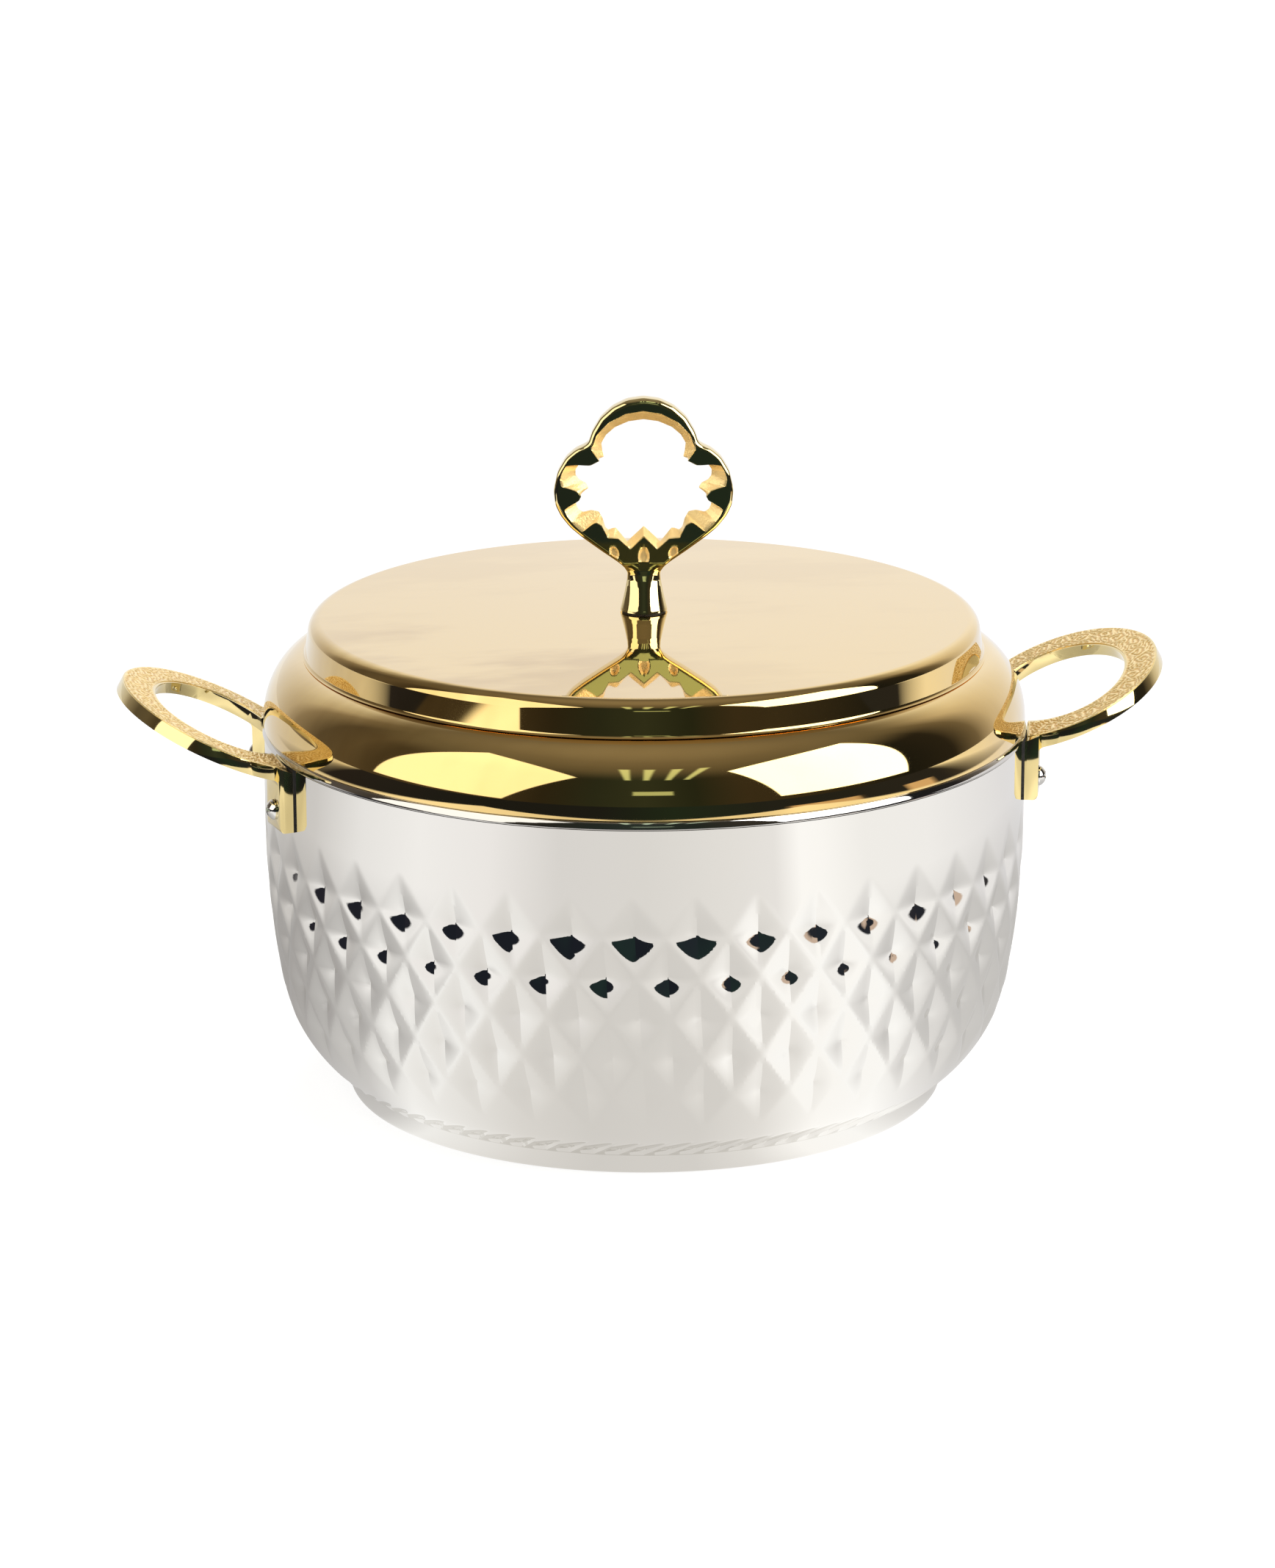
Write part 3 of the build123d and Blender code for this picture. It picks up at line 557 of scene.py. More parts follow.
cap = revolved(
    "polished_base_cap",
    *section(
        (CAP_RADIUS, CAP_HEIGHT),
        (CAP_RADIUS, CAP_EDGE + 1),
        arc((CAP_RADIUS - CAP_EDGE, CAP_EDGE), CAP_EDGE, 0, -90, 10),
        (CAP_RADIUS - CAP_EDGE - CAP_RING, 0),
        (CAP_RADIUS - CAP_EDGE - CAP_RING - CAP_RECESS, CAP_RECESS),
        (0, CAP_RECESS),
        (0, CAP_RECESS + CAP_SHEET),
        (CAP_RADIUS - CAP_SHEET, CAP_RECESS + CAP_SHEET),
        (CAP_RADIUS - CAP_SHEET, CAP_HEIGHT),
    ),
    steel,
)
crease(cap)
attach(cap, "pot")
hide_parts("base_cap")

# ---------------------------------------------------------------- inner bowl
# The food bowl, drawn from 0.8 mm stainless steel.  Its flange lies on the shell and ends in a
# rolled rim, which is polished; inside it is brushed round and round to a satin finish.
BOWL_RADIUS, BOWL_SHEET, BOWL_FLOOR, BOWL_CORNER = 116.0, 0.8, 18.8, 34.0
FLANGE_TOP = 128.7
RIM_EDGE, RIM_FOOT = 130.4, 127.0        # where the rim's outer face ends below, and turns under
RIM_LOW, RIM_HIGH = 6, 32    # degrees of the rim's outer face, an arc, at its foot and its top
RIM_TOP, RIM_BOTTOM = 129.08, 126.67
RIM_TOP_BEND, RIM_FOOT_BEND, RIM_WIDTH = 0.35, 0.3, 2.2
BRUSH_SPACING = 0.9          # real brush lines are finer, and would not show
SATIN_END, POLISHED = 0.1274, 0.1279              # from the axis, in metres

satin, tree, place = new_material("circular_brushed_stainless_steel")
flat = add_node(tree, "VectorMath", {0: place, 1: (1, 1, 0)}, operation="MULTIPLY")
from_axis = add_node(tree, "VectorMath", {0: flat}, operation="LENGTH")
up = add_node(tree, "SeparateXYZ", {0: place}).outputs["Z"]
along = add_node(tree, "Math", {0: from_axis, 1: up}, operation="ADD")
lines = add_node(
    tree,
    "TexNoise",
    {"W": along, "Scale": 1 / (BRUSH_SPACING * MM), "Detail": 2.0},
    noise_dimensions="1D",
)
brushed = add_node(tree, "Bump", {"Height": lines, "Strength": 0.25, "Distance": 0.0002})
polish = add_node(
    tree,
    "MapRange",
    {"Value": from_axis, "From Min": SATIN_END, "From Max": POLISHED, "To Min": 0.24, "To Max": 0.04},
)
finish_surface(tree, {"Base Color": linear("D9D7D4"), "Roughness": polish, "Normal": brushed})

low, high = radians(RIM_LOW), radians(RIM_HIGH)
face_radius = (RIM_TOP - RIM_FOOT) / (sin(high) - sin(low))
face_centre = (RIM_EDGE - face_radius * cos(low), RIM_FOOT - face_radius * sin(low))
rim_top = arc(face_centre, face_radius - RIM_TOP_BEND, RIM_HIGH, RIM_HIGH, 1)[0]
rim_foot = arc(face_centre, face_radius - RIM_FOOT_BEND, RIM_LOW, RIM_LOW, 1)[0]
wall_foot = (BOWL_RADIUS - BOWL_CORNER, BOWL_FLOOR + BOWL_CORNER)
bowl = revolved(
    "rolled_rim_bowl",
    *section(
        (0, BOWL_FLOOR),
        (BOWL_RADIUS - BOWL_CORNER, BOWL_FLOOR),
        arc(wall_foot, BOWL_CORNER, -84, 0, 20),
        arc((BOWL_RADIUS + 1, FLANGE_TOP - 1), 1, 180, 90, 6),
        arc(rim_top, RIM_TOP_BEND, 140, RIM_HIGH, 10),
        arc(face_centre, face_radius, RIM_HIGH, RIM_LOW, 12)[1:],
        arc(rim_foot, RIM_FOOT_BEND, RIM_LOW, -90, 8)[1:],
        (RIM_EDGE - RIM_WIDTH, RIM_BOTTOM),
        (RIM_EDGE - RIM_WIDTH, FLANGE_TOP - BOWL_SHEET),
        (BOWL_RADIUS + BOWL_SHEET, FLANGE_TOP - BOWL_SHEET),
        arc(wall_foot, BOWL_CORNER + BOWL_SHEET, 0, -90, 12),
        (0, BOWL_FLOOR - BOWL_SHEET),
    ),
    satin,
)
crease(bowl, 40)
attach(bowl, "pot")
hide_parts("inner_bowl")

# ---------------------------------------------------------------- lid cover
# Spun from 0.7 mm steel, polished, and coated a pale gold in a vacuum: a slightly crowned disc,
# a step, a convex shoulder, and a hemmed lip that rests on the rolled rim.
LID_SHEET, LIP_BOTTOM, LIP, HEM = 0.7, 129.4, 0.8, 1.4
SHOULDER_WIDTH, SHOULDER_HEIGHT = 17.0, 23.0
DRUM_FOOT, DRUM_EDGE, DISC_EDGE, CROWN = 115.3, 4.5, 165.1, 1.1
DRUM_LEAN = 7.7              # degrees that the step leans inwards
STEP_FILLET, FILLET_LIFT = 1.2, 0.1
SHOULDER_START = 82.5        # degrees round the ellipse, where the shoulder leaves the fillet
COVER_HOLE = 2.75


def dome(inset, steps):
    """The lid's side in section, moved inwards by inset, from the centre hole out to the lip.

    A crowned disc, a rounded edge, a leaning step, a small hollow fillet and a quarter ellipse.
    """
    shoulder_level = LIP_BOTTOM + LIP
    drop = DISC_EDGE - DRUM_EDGE - shoulder_level - SHOULDER_HEIGHT
    lean_in = drop * np.tan(np.radians(DRUM_LEAN))
    edge_centre = np.array([DRUM_FOOT - DRUM_EDGE - lean_in, DISC_EDGE - DRUM_EDGE])
    out = np.linspace(COVER_HOLE, edge_centre[0], steps // 3)
    disc = np.stack([out, DISC_EDGE + CROWN * (1 - (out / edge_centre[0]) ** 2) - inset], axis=-1)
    edge = arc(edge_centre, DRUM_EDGE - inset, 88, DRUM_LEAN, steps // 3)
    turn = np.radians(np.linspace(SHOULDER_START, 0, steps))
    shoulder = np.stack(
        [
            WALL - SHOULDER_WIDTH + (SHOULDER_WIDTH - inset) * np.cos(turn),
            shoulder_level + (SHOULDER_HEIGHT - inset) * np.sin(turn),
        ],
        axis=-1,
    )
    fillet = STEP_FILLET + inset
    hollow = np.array([DRUM_FOOT - inset + fillet, shoulder[0][1] + fillet + FILLET_LIFT])
    return np.vstack([disc, edge, arc(hollow, fillet, 185, 262, 8), shoulder])


# Titanium nitride on polished steel under a clear lacquer: deep gold where it is looked at
# straight, and pale where it is looked at along the surface.  A hand left faint smears on its disc.
gold_sheet, tree, place = new_material("gold_coated_polished_steel")
SMEAR_MIDDLE = (-0.060, -0.048, 0.165)
SMEAR_REACH, SMEAR_CORE, SMEAR_ELSEWHERE = 0.075, 0.02, 0.25
smear_place = add_node(
    tree, "Mapping", {"Vector": place, "Location": (0.3, 0.1, 0), "Scale": (9, 22, 9)}
)
smears = add_node(
    tree, "TexNoise", {"Vector": smear_place, "Scale": 1.0, "Detail": 4.0, "Roughness": 0.6}
)
smears = add_node(
    tree,
    "MapRange",
    {"Value": smears, "From Min": 0.43, "From Max": 0.62},
    interpolation_type="SMOOTHSTEP",
)
from_smear = add_node(tree, "VectorMath", {0: place, 1: SMEAR_MIDDLE}, operation="DISTANCE")
smeared = add_node(
    tree,
    "MapRange",
    {"Value": from_smear, "From Min": SMEAR_REACH, "From Max": SMEAR_CORE, "To Min": SMEAR_ELSEWHERE},
)
smears = add_node(tree, "Math", {0: smears, 1: smeared}, operation="MULTIPLY")
tint = add_node(tree, "Mix", {0: smears, 6: linear("F5D487"), 7: linear("D2AC5C")}, data_type="RGBA")
lacquer = {"Coat Weight": 1.0, "Coat Roughness": 0.02}
finish_surface(tree, {"Base Color": tint, "Roughness": 0.03, **lacquer})

LIP_ROUNDING = 0.3
cover = revolved(
    "stepped_lid_cover",
    *section(
        dome(0, 72),
        (WALL, LIP_BOTTOM + LIP_ROUNDING),
        (WALL - LIP_ROUNDING, LIP_BOTTOM),
        (WALL - HEM, LIP_BOTTOM),
        (WALL - HEM, LIP_BOTTOM + LIP),
        dome(LID_SHEET, 24)[::-1],
    ),
    gold_sheet,
    320,
)
crease(cover, 35)
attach(cover, "lid")
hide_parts("lid_cover")

# ---------------------------------------------------------------- lid liner and seal
# A flat pan of 0.7 mm steel, brushed like the bowl, closes the lid from below.  A clear silicone
# ring under its flange rests on the bowl's flange.
LINER_RADIUS, LINER_FLOOR, LINER_LEVEL, LINER_SHEET, LINER_CORNER = 114.5, 120.7, 130.1, 0.7, 3.0
LINER_EDGE = WALL - HEM - 0.1
corner_centre = (LINER_RADIUS - LINER_CORNER, LINER_FLOOR + LINER_CORNER)
liner = revolved(
    "brushed_lid_liner",
    *section(
        (0, LINER_FLOOR),
        arc(corner_centre, LINER_CORNER, -90, 0, 8),
        (LINER_RADIUS, LINER_LEVEL),
        (LINER_EDGE, LINER_LEVEL),
        (LINER_EDGE, LINER_LEVEL + LINER_SHEET),
        (LINER_RADIUS - LINER_SHEET, LINER_LEVEL + LINER_SHEET),
        arc(corner_centre, LINER_CORNER - LINER_SHEET, 0, -90, 8),
        (0, LINER_FLOOR + LINER_SHEET),
    ),
    satin,
)
crease(liner, 40)
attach(liner, "lid")
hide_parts("lid_liner")

# Clear silicone rubber, moulded: milky, soft-looking, and a little see-through.
silicone, tree, place = new_material("clear_moulded_silicone")
cloud = add_node(tree, "TexNoise", {"Vector": place, "Scale": 240.0, "Detail": 2.0})
milk = ramp_stops(add_node(tree, "ValToRGB", {"Fac": cloud}), [(0.3, "DCDDD9"), (0.7, "ECECE8")])
milky = {"Base Color": milk, "Roughness": 0.45, "IOR": 1.41, "Subsurface Weight": 0.3}
finish_surface(tree, milky, metallic=0.0)


def dress(material, *dressed):
    """Give CAD nodes their material."""
    for node in dressed:
        nodes[node].data.materials.clear()
        nodes[node].data.materials.append(material)


dress(silicone, "lid_seal")

# ---------------------------------------------------------------- ring knob
# One casting of zinc alloy, polished and gold plated: a waisted round stem that opens into a flat
# ring with leaf-shaped teeth.  The slanted inner edge and the three small leaves keep the skin of
# the casting, so they scatter light where the rest is a mirror.
KNOB_BASE = 166.8
KNOB_TURN = radians(-8.4)
KNOB_HALF = 3.5
RING_CENTRE = 47.0           # the ring is drawn by angle and distance from this height on its axis
RING_OUTLINE = (
    (0.0, 73.6), (5.5, 72.8), (10.4, 70.4), (14.5, 66.7), (17.3, 62.0), (18.5, 58.3), (20.0, 57.1),
    (22.8, 55.9), (26.2, 53.0), (29.0, 48.2), (30.4, 42.0), (29.9, 37.0), (28.0, 33.0),
    (24.8, 29.0), (20.8, 25.6), (14.4, 20.9), (8.6, 16.9), (6.2, 14.8), (5.3, 12.1), (0.0, 12.0),
)  # fmt: skip
FACE_EDGE = (
    (0, 69.3), (6, 68.3), (11.6, 65.4), (15.6, 61.3), (17.6, 57.4), (17.6, 56.0), (15.7, 53.4),
    (14.8, 52.2), (17.9, 50.6), (20.3, 50.6), (22.5, 50.9), (26.6, 50.4), (27.9, 48.5), (28.2, 45.5),
    (27.7, 43.3), (25.0, 42.6), (22.5, 41.7), (21.0, 40.1), (21.9, 38.3), (25.4, 36.4), (26.8, 35.2),
    (25.8, 33.0), (23.5, 30.0), (20.8, 27.4), (17.3, 30.5), (16.0, 30.9), (14.2, 29.9), (12.7, 26.9),
    (12.2, 25.6), (8.6, 25.3), (4.5, 21.6), (0, 26.2),
)  # fmt: skip
OPENING = (
    (0, 65.9), (5, 65.2), (9.6, 63.2), (12.6, 60.6), (14.2, 57.8), (13.9, 55.0), (13.4, 53.0),
    (16.4, 51.9), (19.2, 51.2), (21.8, 50.4), (23.0, 48.6), (22.9, 46.6), (21.8, 45.0), (19.6, 43.9),
    (18.6, 42.3), (20.3, 41.0), (21.8, 39.6), (22.9, 38.2), (22.8, 36.4), (22.1, 34.8), (20.6, 33.8),
    (17.8, 34.5), (15.2, 34.0), (13.8, 31.5), (13.0, 28.6), (12.0, 27.6), (10.6, 28.2), (9.4, 28.3),
    (5.6, 23.6), (0, 28.9),
)  # fmt: skip
LEAVES = (                   # across, up, half width, half height, degrees that it leans
    (0, 18.9, 1.9, 3.7, 0), (-10, 20.3, 1.5, 2.5, 18), (10, 20.3, 1.5, 2.5, -18),
)  # fmt: skip
LEAF_DEPTH, LEAF_STEEPNESS = 0.9, 2.5
THIN_HALF = 0.4              # half the thickness that the slanted inner edge leaves
EDGE_WIDTH = ((0, 1.0, 1.6, pi), (2.0, 1.8, 1.4, 1.1))            # by radians from the top
EDGE_FALL = 0.8              # depth of the rounded outer edge, as a share of its width
DIP_LEVEL, DIP_HEIGHT, DIP_SHARE = 13.5, 3, 0.6   # where the ring thins to dip into the stem
STEM = (                     # level, half width, half depth, squareness of the section
    (0.0, 8.0, 8.0, 2.0), (0.8, 7.9, 7.9, 2.0), (2.5, 7.45, 7.3, 2.0), (4.5, 6.95, 6.5, 2.0),
    (6.5, 6.5, 5.7, 2.0), (8.5, 6.1, 4.9, 2.0), (10.5, 5.75, 4.2, 2.1), (12.5, 5.6, 3.7, 2.3),
    (14.0, 5.9, 3.5, 2.8), (15.0, 6.7, 3.48, 3.6), (16.0, 7.7, 3.47, 5.0), (17.2, 8.6, 3.46, 7.0),
)  # fmt: skip


def distance_by_angle(half_outline, angles, rounding):
    """How far an outline lies from the ring's centre, at each angle from straight up.

    half_outline holds places across and up, from the top to the bottom of the right half, and the
    left half mirrors it.  rounding softens its corners by about that many degrees.
    """
    places = np.asarray(half_outline, float)
    steps = np.linspace(0, len(places) - 1, 40 * len(places))
    across = np.interp(steps, np.arange(len(places)), places[:, 0])
    up = np.interp(steps, np.arange(len(places)), places[:, 1]) - RING_CENTRE
    turn = np.maximum.accumulate(np.arctan2(across, up))
    distance = np.interp(np.abs(angles), turn, np.hypot(across, up))
    reach = np.arange(-12, 13)
    weight = np.exp(-0.5 * (reach * (angles[1] - angles[0]) / np.radians(rounding)) ** 2)
    round_again = np.concatenate([distance[-12:], distance, distance[:12]])
    return np.convolve(round_again, weight / weight.sum(), "valid")


def knob_place(across, depth, up):
    """From across, depth and height on the knob to metres in the pot's frame."""
    c, s = cos(KNOB_TURN), sin(KNOB_TURN)
    parts = (across * c - depth * s, across * s + depth * c, up + KNOB_BASE + 0 * across)
    return np.stack(parts, axis=-1) * MM


# Gold plating over polished zinc alloy under lacquer: a mirror with a slightly deeper gold than
# the lid's; where the casting's skin was left it is granular, about 0.6 mm from grain to grain.
gold_casting, tree, place = new_material("gold_plated_zinc_casting")
skin = add_node(tree, "Attribute", attribute_name="casting_skin").outputs["Fac"]
grain = add_node(tree, "TexNoise", {"Vector": place, "Scale": 1600.0, "Detail": 2.0})
grain = add_node(tree, "Math", {0: grain, 1: skin}, operation="MULTIPLY")
grainy = add_node(tree, "Bump", {"Height": grain, "Strength": 0.5, "Distance": 0.0003})
warm = add_node(tree, "Mix", {0: skin, 6: linear("F4E0A0"), 7: linear("F7D692")}, data_type="RGBA")
dull = add_node(tree, "MapRange", {"Value": skin, "To Min": 0.05, "To Max": 0.34})
shine = add_node(tree, "MapRange", {"Value": skin, "To Min": 1.0, "To Max": 0.5})
lacquer = {"Coat Weight": 0.6, "Coat Roughness": 0.03}
finish_surface(tree, {"Base Color": warm, "Roughness": dull, "Normal": grainy, **lacquer}, shine)

KNOB_STEPS = 720
spin = (np.arange(KNOB_STEPS) + 0.5) * 2 * pi / KNOB_STEPS - pi
outline = distance_by_angle(RING_OUTLINE, spin, 1.6)
face_edge = distance_by_angle(FACE_EDGE, spin, 0.35)
opening = distance_by_angle(OPENING, spin, 0.5)
edge_width = np.interp(np.abs(spin), *EDGE_WIDTH)
flat_end = outline - edge_width
bevel = np.linspace(0, 1, 7)[:, None]
bevel_distance = opening + (face_edge - opening) * bevel
bevel_depth = -THIN_HALF - (KNOB_HALF - THIN_HALF) * bevel + 0 * spin
face_distance = face_edge + (flat_end - face_edge) * np.linspace(0, 1, 24)[1:, None]
face_across, face_up = face_distance * np.sin(spin), RING_CENTRE + face_distance * np.cos(spin)
sunk = np.zeros(face_distance.shape)
for leaf_across, leaf_up, half_width, half_height, tilt in LEAVES:
    c, s = cos(radians(tilt)), sin(radians(tilt))
    x = ((face_across - leaf_across) * c + (face_up - leaf_up) * s) / half_width
    y = ((face_up - leaf_up) * c - (face_across - leaf_across) * s) / half_height
    sunk = np.maximum(sunk, np.clip((1 - np.hypot(x, y)) * LEAF_STEEPNESS, 0, 1))
rounding = np.radians(np.linspace(0, 90, 7))[1:, None]
edge_distance = flat_end + edge_width * np.sin(rounding)
edge_depth = -KNOB_HALF + EDGE_FALL * edge_width * (1 - np.cos(rounding))
ring_distance = np.vstack([bevel_distance, face_distance, edge_distance])
ring_depth = np.vstack([bevel_depth, LEAF_DEPTH * sunk - KNOB_HALF, edge_depth])
cast_skin = np.vstack([np.ones(bevel_distance.shape), sunk > 0.02, np.zeros(edge_distance.shape)])
cast_skin[len(bevel) - 1] = 0.5
full = np.clip((RING_CENTRE + ring_distance * np.cos(spin) - DIP_LEVEL) / DIP_HEIGHT, 0, 1)
ring_depth = ring_depth * (DIP_SHARE + (1 - DIP_SHARE) * full * full * (3 - 2 * full))
ring_distance = np.vstack([ring_distance, ring_distance[::-1]])
ring_depth = np.vstack([ring_depth, -ring_depth[::-1]])
cast_skin = np.vstack([cast_skin, cast_skin[::-1]])
ring = closed_grid(
    "ring_of_knob",
    knob_place(
        ring_distance * np.sin(spin), ring_depth, RING_CENTRE + ring_distance * np.cos(spin)
    ),
    gold_casting,
    ("casting_skin", cast_skin),
)
crease(ring, 28)

# the stem: round at its foot, oval in its waist, and flat in front where it enters the ring
stem_level = np.linspace(0, STEM[-1][0], 87)
half_width, half_depth, squareness = (
    np.interp(stem_level, [row[0] for row in STEM], [row[column] for row in STEM])[:, None]
    for column in (1, 2, 3)
)
STEM_STEPS = 144
facing = (np.arange(STEM_STEPS) + 0.5) * 2 * pi / STEM_STEPS
stem_across, stem_depth = (
    np.pad(half * np.sign(share) * np.abs(share) ** (2 / squareness), ((1, 1), (0, 0)))
    for half, share in ((half_width, np.sin(facing)), (half_depth, -np.cos(facing)))
)
stem = closed_grid(
    "stem_of_knob",
    knob_place(stem_across, stem_depth, np.pad(stem_level, 1, mode="edge")[:, None]),
    gold_casting,
    ("casting_skin", 0.0),
    loop_rows=False,
)
crease(stem, 40)
for piece in (ring, stem):
    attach(piece, "lid")
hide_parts("knob")

# ---------------------------------------------------------------- loop handles
# Each handle is one gold plated casting like the knob: a flat oval band that rises outwards from
# the wall and turns down into two feet.  Its edges are ground round and its sides are polished.
EDGE_ROUNDING = 0.45
HANDLE_SLOPE = radians(23.7)
HANDLE_LEVEL, LOOP_CENTRE = 128.0, 145.0
LOOP_LEVEL = HANDLE_LEVEL + (LOOP_CENTRE - WALL) * np.tan(HANDLE_SLOPE)
BAND_THICK = 4.2
DRAFT = radians(6)
FOOT_DRAFT = 0.8             # more of it beside the feet, as a share of the handle's slope
NEAR_OVAL = 60               # how sharply the draft is kept to points that lie on an oval
LOOP_LENGTH, LOOP_WIDTH, BAND, BAND_SIDE = 35.5, 47.0, 11.8, 13.0
FOOT_BACK = 130.6
FOOT_ROUNDING = 1.6          # of the lower outer corner of each foot
ASIDE = np.array([0, 1, 0])  # from foot to foot


def band_axes(out):
    """The direction up a handle's slope, the one square to its upper face, and its loop's middle.

    out is -1 for the left handle and 1 for the right one.
    """
    slope = np.array([cos(HANDLE_SLOPE) * out, 0, sin(HANDLE_SLOPE)])
    upward = np.array([-sin(HANDLE_SLOPE) * out, 0, cos(HANDLE_SLOPE)])
    return slope, upward, np.array([LOOP_CENTRE * out, 0, LOOP_LEVEL])


def drafted(points, out):
    """Slope the sides of the band a little all the way round, as a casting leaves its mould.

    In the band's own plane, points on its outer and inner ovals move outwards by the slope for each
    millimetre that they lie below the band's middle.  The slope is the tangent of DRAFT, and more
    beside the feet.
    """
    slope, upward, middle = band_axes(out)
    from_middle = points - middle
    u, v = from_middle @ slope, from_middle[:, 1]
    above = np.clip(from_middle @ upward + BAND_THICK / 2, -BAND_THICK / 2, BAND_THICK / 2)
    for length, width in ((LOOP_LENGTH, LOOP_WIDTH), (LOOP_LENGTH - BAND, LOOP_WIDTH - BAND_SIDE)):
        on_oval = np.exp(-(((np.hypot(u / length, v / width) - 1) * NEAR_OVAL) ** 2))
        normal = np.stack([u / length**2, v / width**2], axis=-1)
        normal = normal / np.linalg.norm(normal, axis=1)[:, None]
        at_foot = np.clip(-normal[:, 0], 0, 1)
        lean_back = np.tan(DRAFT) + FOOT_DRAFT * np.tan(HANDLE_SLOPE) * at_foot
        shift = (-lean_back * above * on_oval)[:, None] * normal
        points = points + shift[:, :1] * slope + shift[:, 1:] * ASIDE
    return points


def rounded_handle(node, name, out):
    """A copy of a CAD handle with its points joined, its sides drafted and its edges rounded."""
    piece = bpy.data.objects.new(name, nodes[node].data.copy())
    bpy.context.scene.collection.objects.link(piece)
    work = bmesh.new()
    work.from_mesh(piece.data)
    bmesh.ops.remove_doubles(work, verts=work.verts, dist=1e-6)
    bmesh.ops.dissolve_limit(
        work, angle_limit=radians(0.6), use_dissolve_boundaries=False, verts=work.verts, edges=work.edges
    )
    # the lower edge of each foot that lies furthest from the pot's axis is rounded
    lowest = min(vert.co.z for vert in work.verts)
    under = [edge for edge in work.edges if max(vert.co.z for vert in edge.verts) < lowest + 0.1 * MM]
    reach = [(edge.verts[0].co + edge.verts[1].co).xy.length / 2 for edge in under]
    furthest = max(reach)
    outer = [edge for edge, far in zip(under, reach) if far > furthest - 0.3 * MM]
    bmesh.ops.bevel(
        work, geom=outer, offset=FOOT_ROUNDING * MM, segments=5, profile=0.5, affect="EDGES"
    )
    for face in work.faces:
        face.smooth = True
    work.to_mesh(piece.data)
    work.free()
    points = np.empty(3 * len(piece.data.vertices), np.float32)
    piece.data.vertices.foreach_get("co", points)
    moved = drafted(points.reshape(-1, 3).astype(float) / MM, out) * MM
    piece.data.vertices.foreach_set("co", moved.astype(np.float32).ravel())
    rounding = piece.modifiers.new("rounding", "BEVEL")
    rounding.width = EDGE_ROUNDING * MM
    rounding.segments = 3
    rounding.limit_method = "ANGLE"
    rounding.angle_limit = radians(35)
    evaluated = piece.evaluated_get(bpy.context.evaluated_depsgraph_get())
    finished = bpy.data.meshes.new_from_object(evaluated)
    piece.modifiers.clear()
    piece.data = finished
    piece.data.materials.clear()
    piece.data.materials.append(gold_casting)
    crease(piece, 25)
    return piece


handles = {"left": -1, "right": 1}
for name, out in handles.items():
    handle = rounded_handle(f"handle_{name}", f"cast_handle_{name}", out)
    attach(handle, "pot")
    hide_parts(f"handle_{name}")

# ---------------------------------------------------------------- engraved faces
# The upper face of each handle is cut all over with a fine scroll of curling leaves between two
# plain borders.  The cuts are left matt, so that the band looks paler and softer than its sides,
# and they are painted a deeper gold than the raised scroll: painted shade in the cuts.
BORDER = 0.07                # plain border, as a share of the band's width
END_BORDER = 0.015           # plain border at the ends, in radians round the oval
RELIEF = 0.32
SCROLL = 9.5                 # from one curl to the next
LINE = 1.15                  # from line to line within a curl
CURL = 3.6                   # how far a curl reaches before the veins take over, within VEINS
VEINS = 1.2
FACE_LIFT, FACE_THICK = 0.05, 0.3
FACE_MARGIN = 0.06           # from the band's edge to the face's, as a share of the band's width
FACE_STOP = 0.8              # from the back of the feet to the ends of the face


def scroll_height(along, across):
    """How high the engraving stands, from 0 to 1, at a place along and across the band in mm.

    In each curl the height is a wave of the distance from its middle plus the angle round it, which
    gives a spiral.  The next curl turns the other way, and fine leaf veins run between them.
    """
    along = along + 0.5 * np.sin(across * 1.3 + along * 0.37)
    across = across + 0.35 * np.sin(along * 1.9) + 0.2 * np.sin(along * 4.7)
    count = np.floor(along / SCROLL)
    x = along - (count + 0.5 + 0.12 * np.sin(count * 2.3)) * SCROLL
    turn_way = np.where(count % 2 == 0, 1.0, -1.0)
    y = across - turn_way * (0.9 + 0.6 * np.sin(count * 3.7))
    reach = np.hypot(x, y * 1.05)
    spiral = np.cos(2 * pi * reach / LINE / 2 - turn_way * np.arctan2(y, x))
    leaf = np.cos(2 * pi * (x * 0.42 + np.abs(across) * turn_way * 0.6) / LINE)
    blend = np.clip((reach - CURL) / VEINS, 0, 1)
    return 0.5 + 0.5 * (spiral * (1 - blend) + leaf * blend)


engraved, tree, place = new_material("engraved_gold_plating")
cuts = add_node(tree, "TexNoise", {"Vector": place, "Scale": 1400.0, "Detail": 3.0})
cut = add_node(tree, "Attribute", attribute_name="cut").outputs["Fac"]
# the deeper gold where the face is cut deep is painted shade in the cuts
tint = add_node(tree, "Mix", {0: cut, 6: linear("FCE4A8"), 7: linear("D6AC5E")}, data_type="RGBA")
uneven = add_node(tree, "Bump", {"Height": cuts, "Strength": 0.5, "Distance": 0.0003})
lacquer = {"Coat Weight": 0.3, "Coat Roughness": 0.2}
finish_surface(tree, {"Base Color": tint, "Roughness": 0.30, "Normal": uneven, **lacquer}, 0.7)

# both faces have the same shape: how far each row across the band lies from the loop's middle,
# how far round it goes before it meets the feet, and how deep it is cut
share = np.concatenate([[0], np.linspace(BORDER, 1 - BORDER, 38), [1]])[:, None]
on_band = FACE_MARGIN + (1 - 2 * FACE_MARGIN) * share
half_length = LOOP_LENGTH - BAND + BAND * on_band
half_width = LOOP_WIDTH - BAND_SIDE + BAND_SIDE * on_band
trial = np.linspace(0, pi, 2000)
trial_x = LOOP_CENTRE + half_length * np.cos(trial) * cos(HANDLE_SLOPE)
clear = np.hypot(trial_x, half_width * np.sin(trial)) > FOOT_BACK + FACE_STOP
last = np.where(clear.all(1), pi, trial[np.argmin(clear, axis=1)])[:, None]
turn = last * np.linspace(-1, 1, 700)
height = scroll_height(turn * (half_length.mean() + half_width.mean()) / 2, (share - 0.5) * BAND)
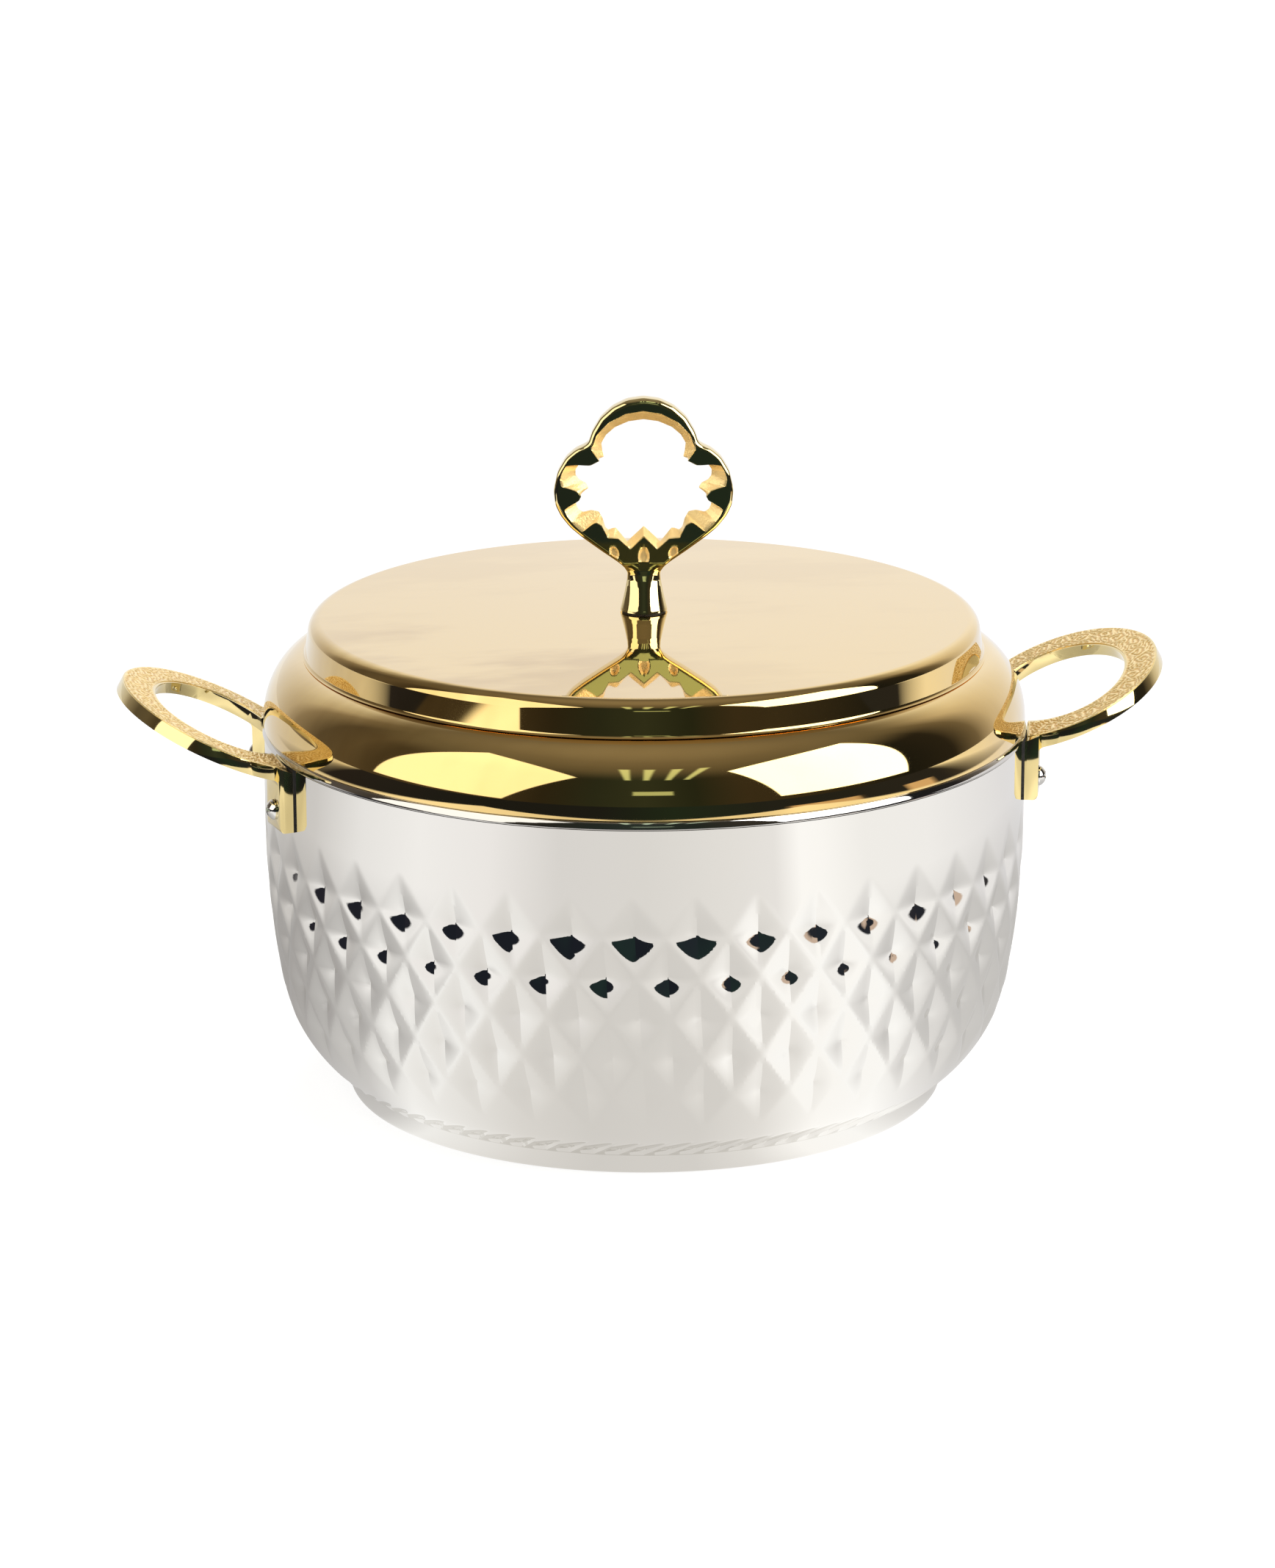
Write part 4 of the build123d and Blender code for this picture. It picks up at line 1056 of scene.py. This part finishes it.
plain = (share < BORDER) | (share > 1 - BORDER) | (np.abs(turn) > last - END_BORDER)
lift = FACE_LIFT + np.where(plain, RELIEF, RELIEF * height)
# how deep each place is cut, which the material also turns into painted shade
cut_depth = np.where(plain, 0, np.clip(1.2 - 1.6 * height, 0, 1))
cut_depth = np.pad(np.concatenate([cut_depth, 0 * cut_depth]).T, ((1, 1), (0, 0)))
for name, out in handles.items():
    slope, upward, middle = band_axes(out)
    flat_place = middle + (half_length * np.cos(turn))[..., None] * slope
    flat_place = flat_place + (half_width * np.sin(turn))[..., None] * ASIDE
    upper = flat_place + lift[..., None] * upward
    lower = (flat_place - FACE_THICK * upward)[::-1]
    grid = np.concatenate([upper, lower]).transpose(1, 0, 2)
    ends = [np.broadcast_to(grid[row].mean(0), grid[:1].shape) for row in (0, -1)]
    face = closed_grid(
        f"engraved_face_{name}",
        np.concatenate([ends[0], grid, ends[1]]) * MM,
        engraved,
        ("cut", cut_depth),
        loop_rows=False,
    )
    crease(face, 40)
    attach(face, "pot")

# ---------------------------------------------------------------- screws, pads and hidden pieces
# Small domed screws hold the handles, over thin rubber pads.  Inside are straps and nuts that the
# screws pull on, a washer and screw under the knob, and foam in the pot and in the lid.
dress(steel, "handle_screws_left", "handle_screws_right")

# Moulded black nitrile rubber: nearly black, dull, with a fine skin.
rubber, tree, place = new_material("black_moulded_rubber")
grain = add_node(tree, "TexNoise", {"Vector": place, "Scale": 900.0, "Detail": 2.0})
shade = ramp_stops(add_node(tree, "ValToRGB", {"Fac": grain}), [(0.3, "161412"), (0.7, "24211E")])
rubbery = add_node(tree, "Bump", {"Height": grain, "Strength": 0.3, "Distance": 0.0002})
finish_surface(tree, {"Base Color": shade, "Roughness": 0.6, "IOR": 1.52, "Normal": rubbery}, 0.0)
dress(rubber, "handle_gaskets_left", "handle_gaskets_right", "knob_gasket", "foam_plug")

# Zinc plating on mild steel, passivated: bluish grey with faint yellow clouds about 5 mm across.
zinc, tree, place = new_material("bright_zinc_plated_steel")
cloud = add_node(tree, "TexNoise", {"Vector": place, "Scale": 200.0, "Detail": 2.0})
tint = ramp_stops(add_node(tree, "ValToRGB", {"Fac": cloud}), [(0.35, "BFC5CC"), (0.7, "CFCBB8")])
finish_surface(tree, {"Base Color": tint, "Roughness": 0.32})
dress(zinc, "handle_strap_left", "handle_strap_right", "handle_nuts_left", "handle_nuts_right")
dress(zinc, "knob_washer", "knob_screw")

# Rigid polyurethane foam, poured: cream, matt, with cells of about 1 mm cut open at the skin.
foam, tree, place = new_material("poured_polyurethane_foam")
cells = add_node(tree, "TexVoronoi", {"Vector": place, "Scale": 900.0})
# a darker cream in the middle of each open cell, where the bump sinks it, is painted shade
cream = ramp_stops(add_node(tree, "ValToRGB", {"Fac": cells}), [(0.0, "C9B27C"), (0.5, "EBDCB0")])
pitted = add_node(tree, "Bump", {"Height": cells, "Strength": 0.6, "Distance": 0.0005})
finish_surface(tree, {"Base Color": cream, "Roughness": 0.9, "Normal": pitted}, 0.0)
dress(foam, "insulation", "lid_foam")
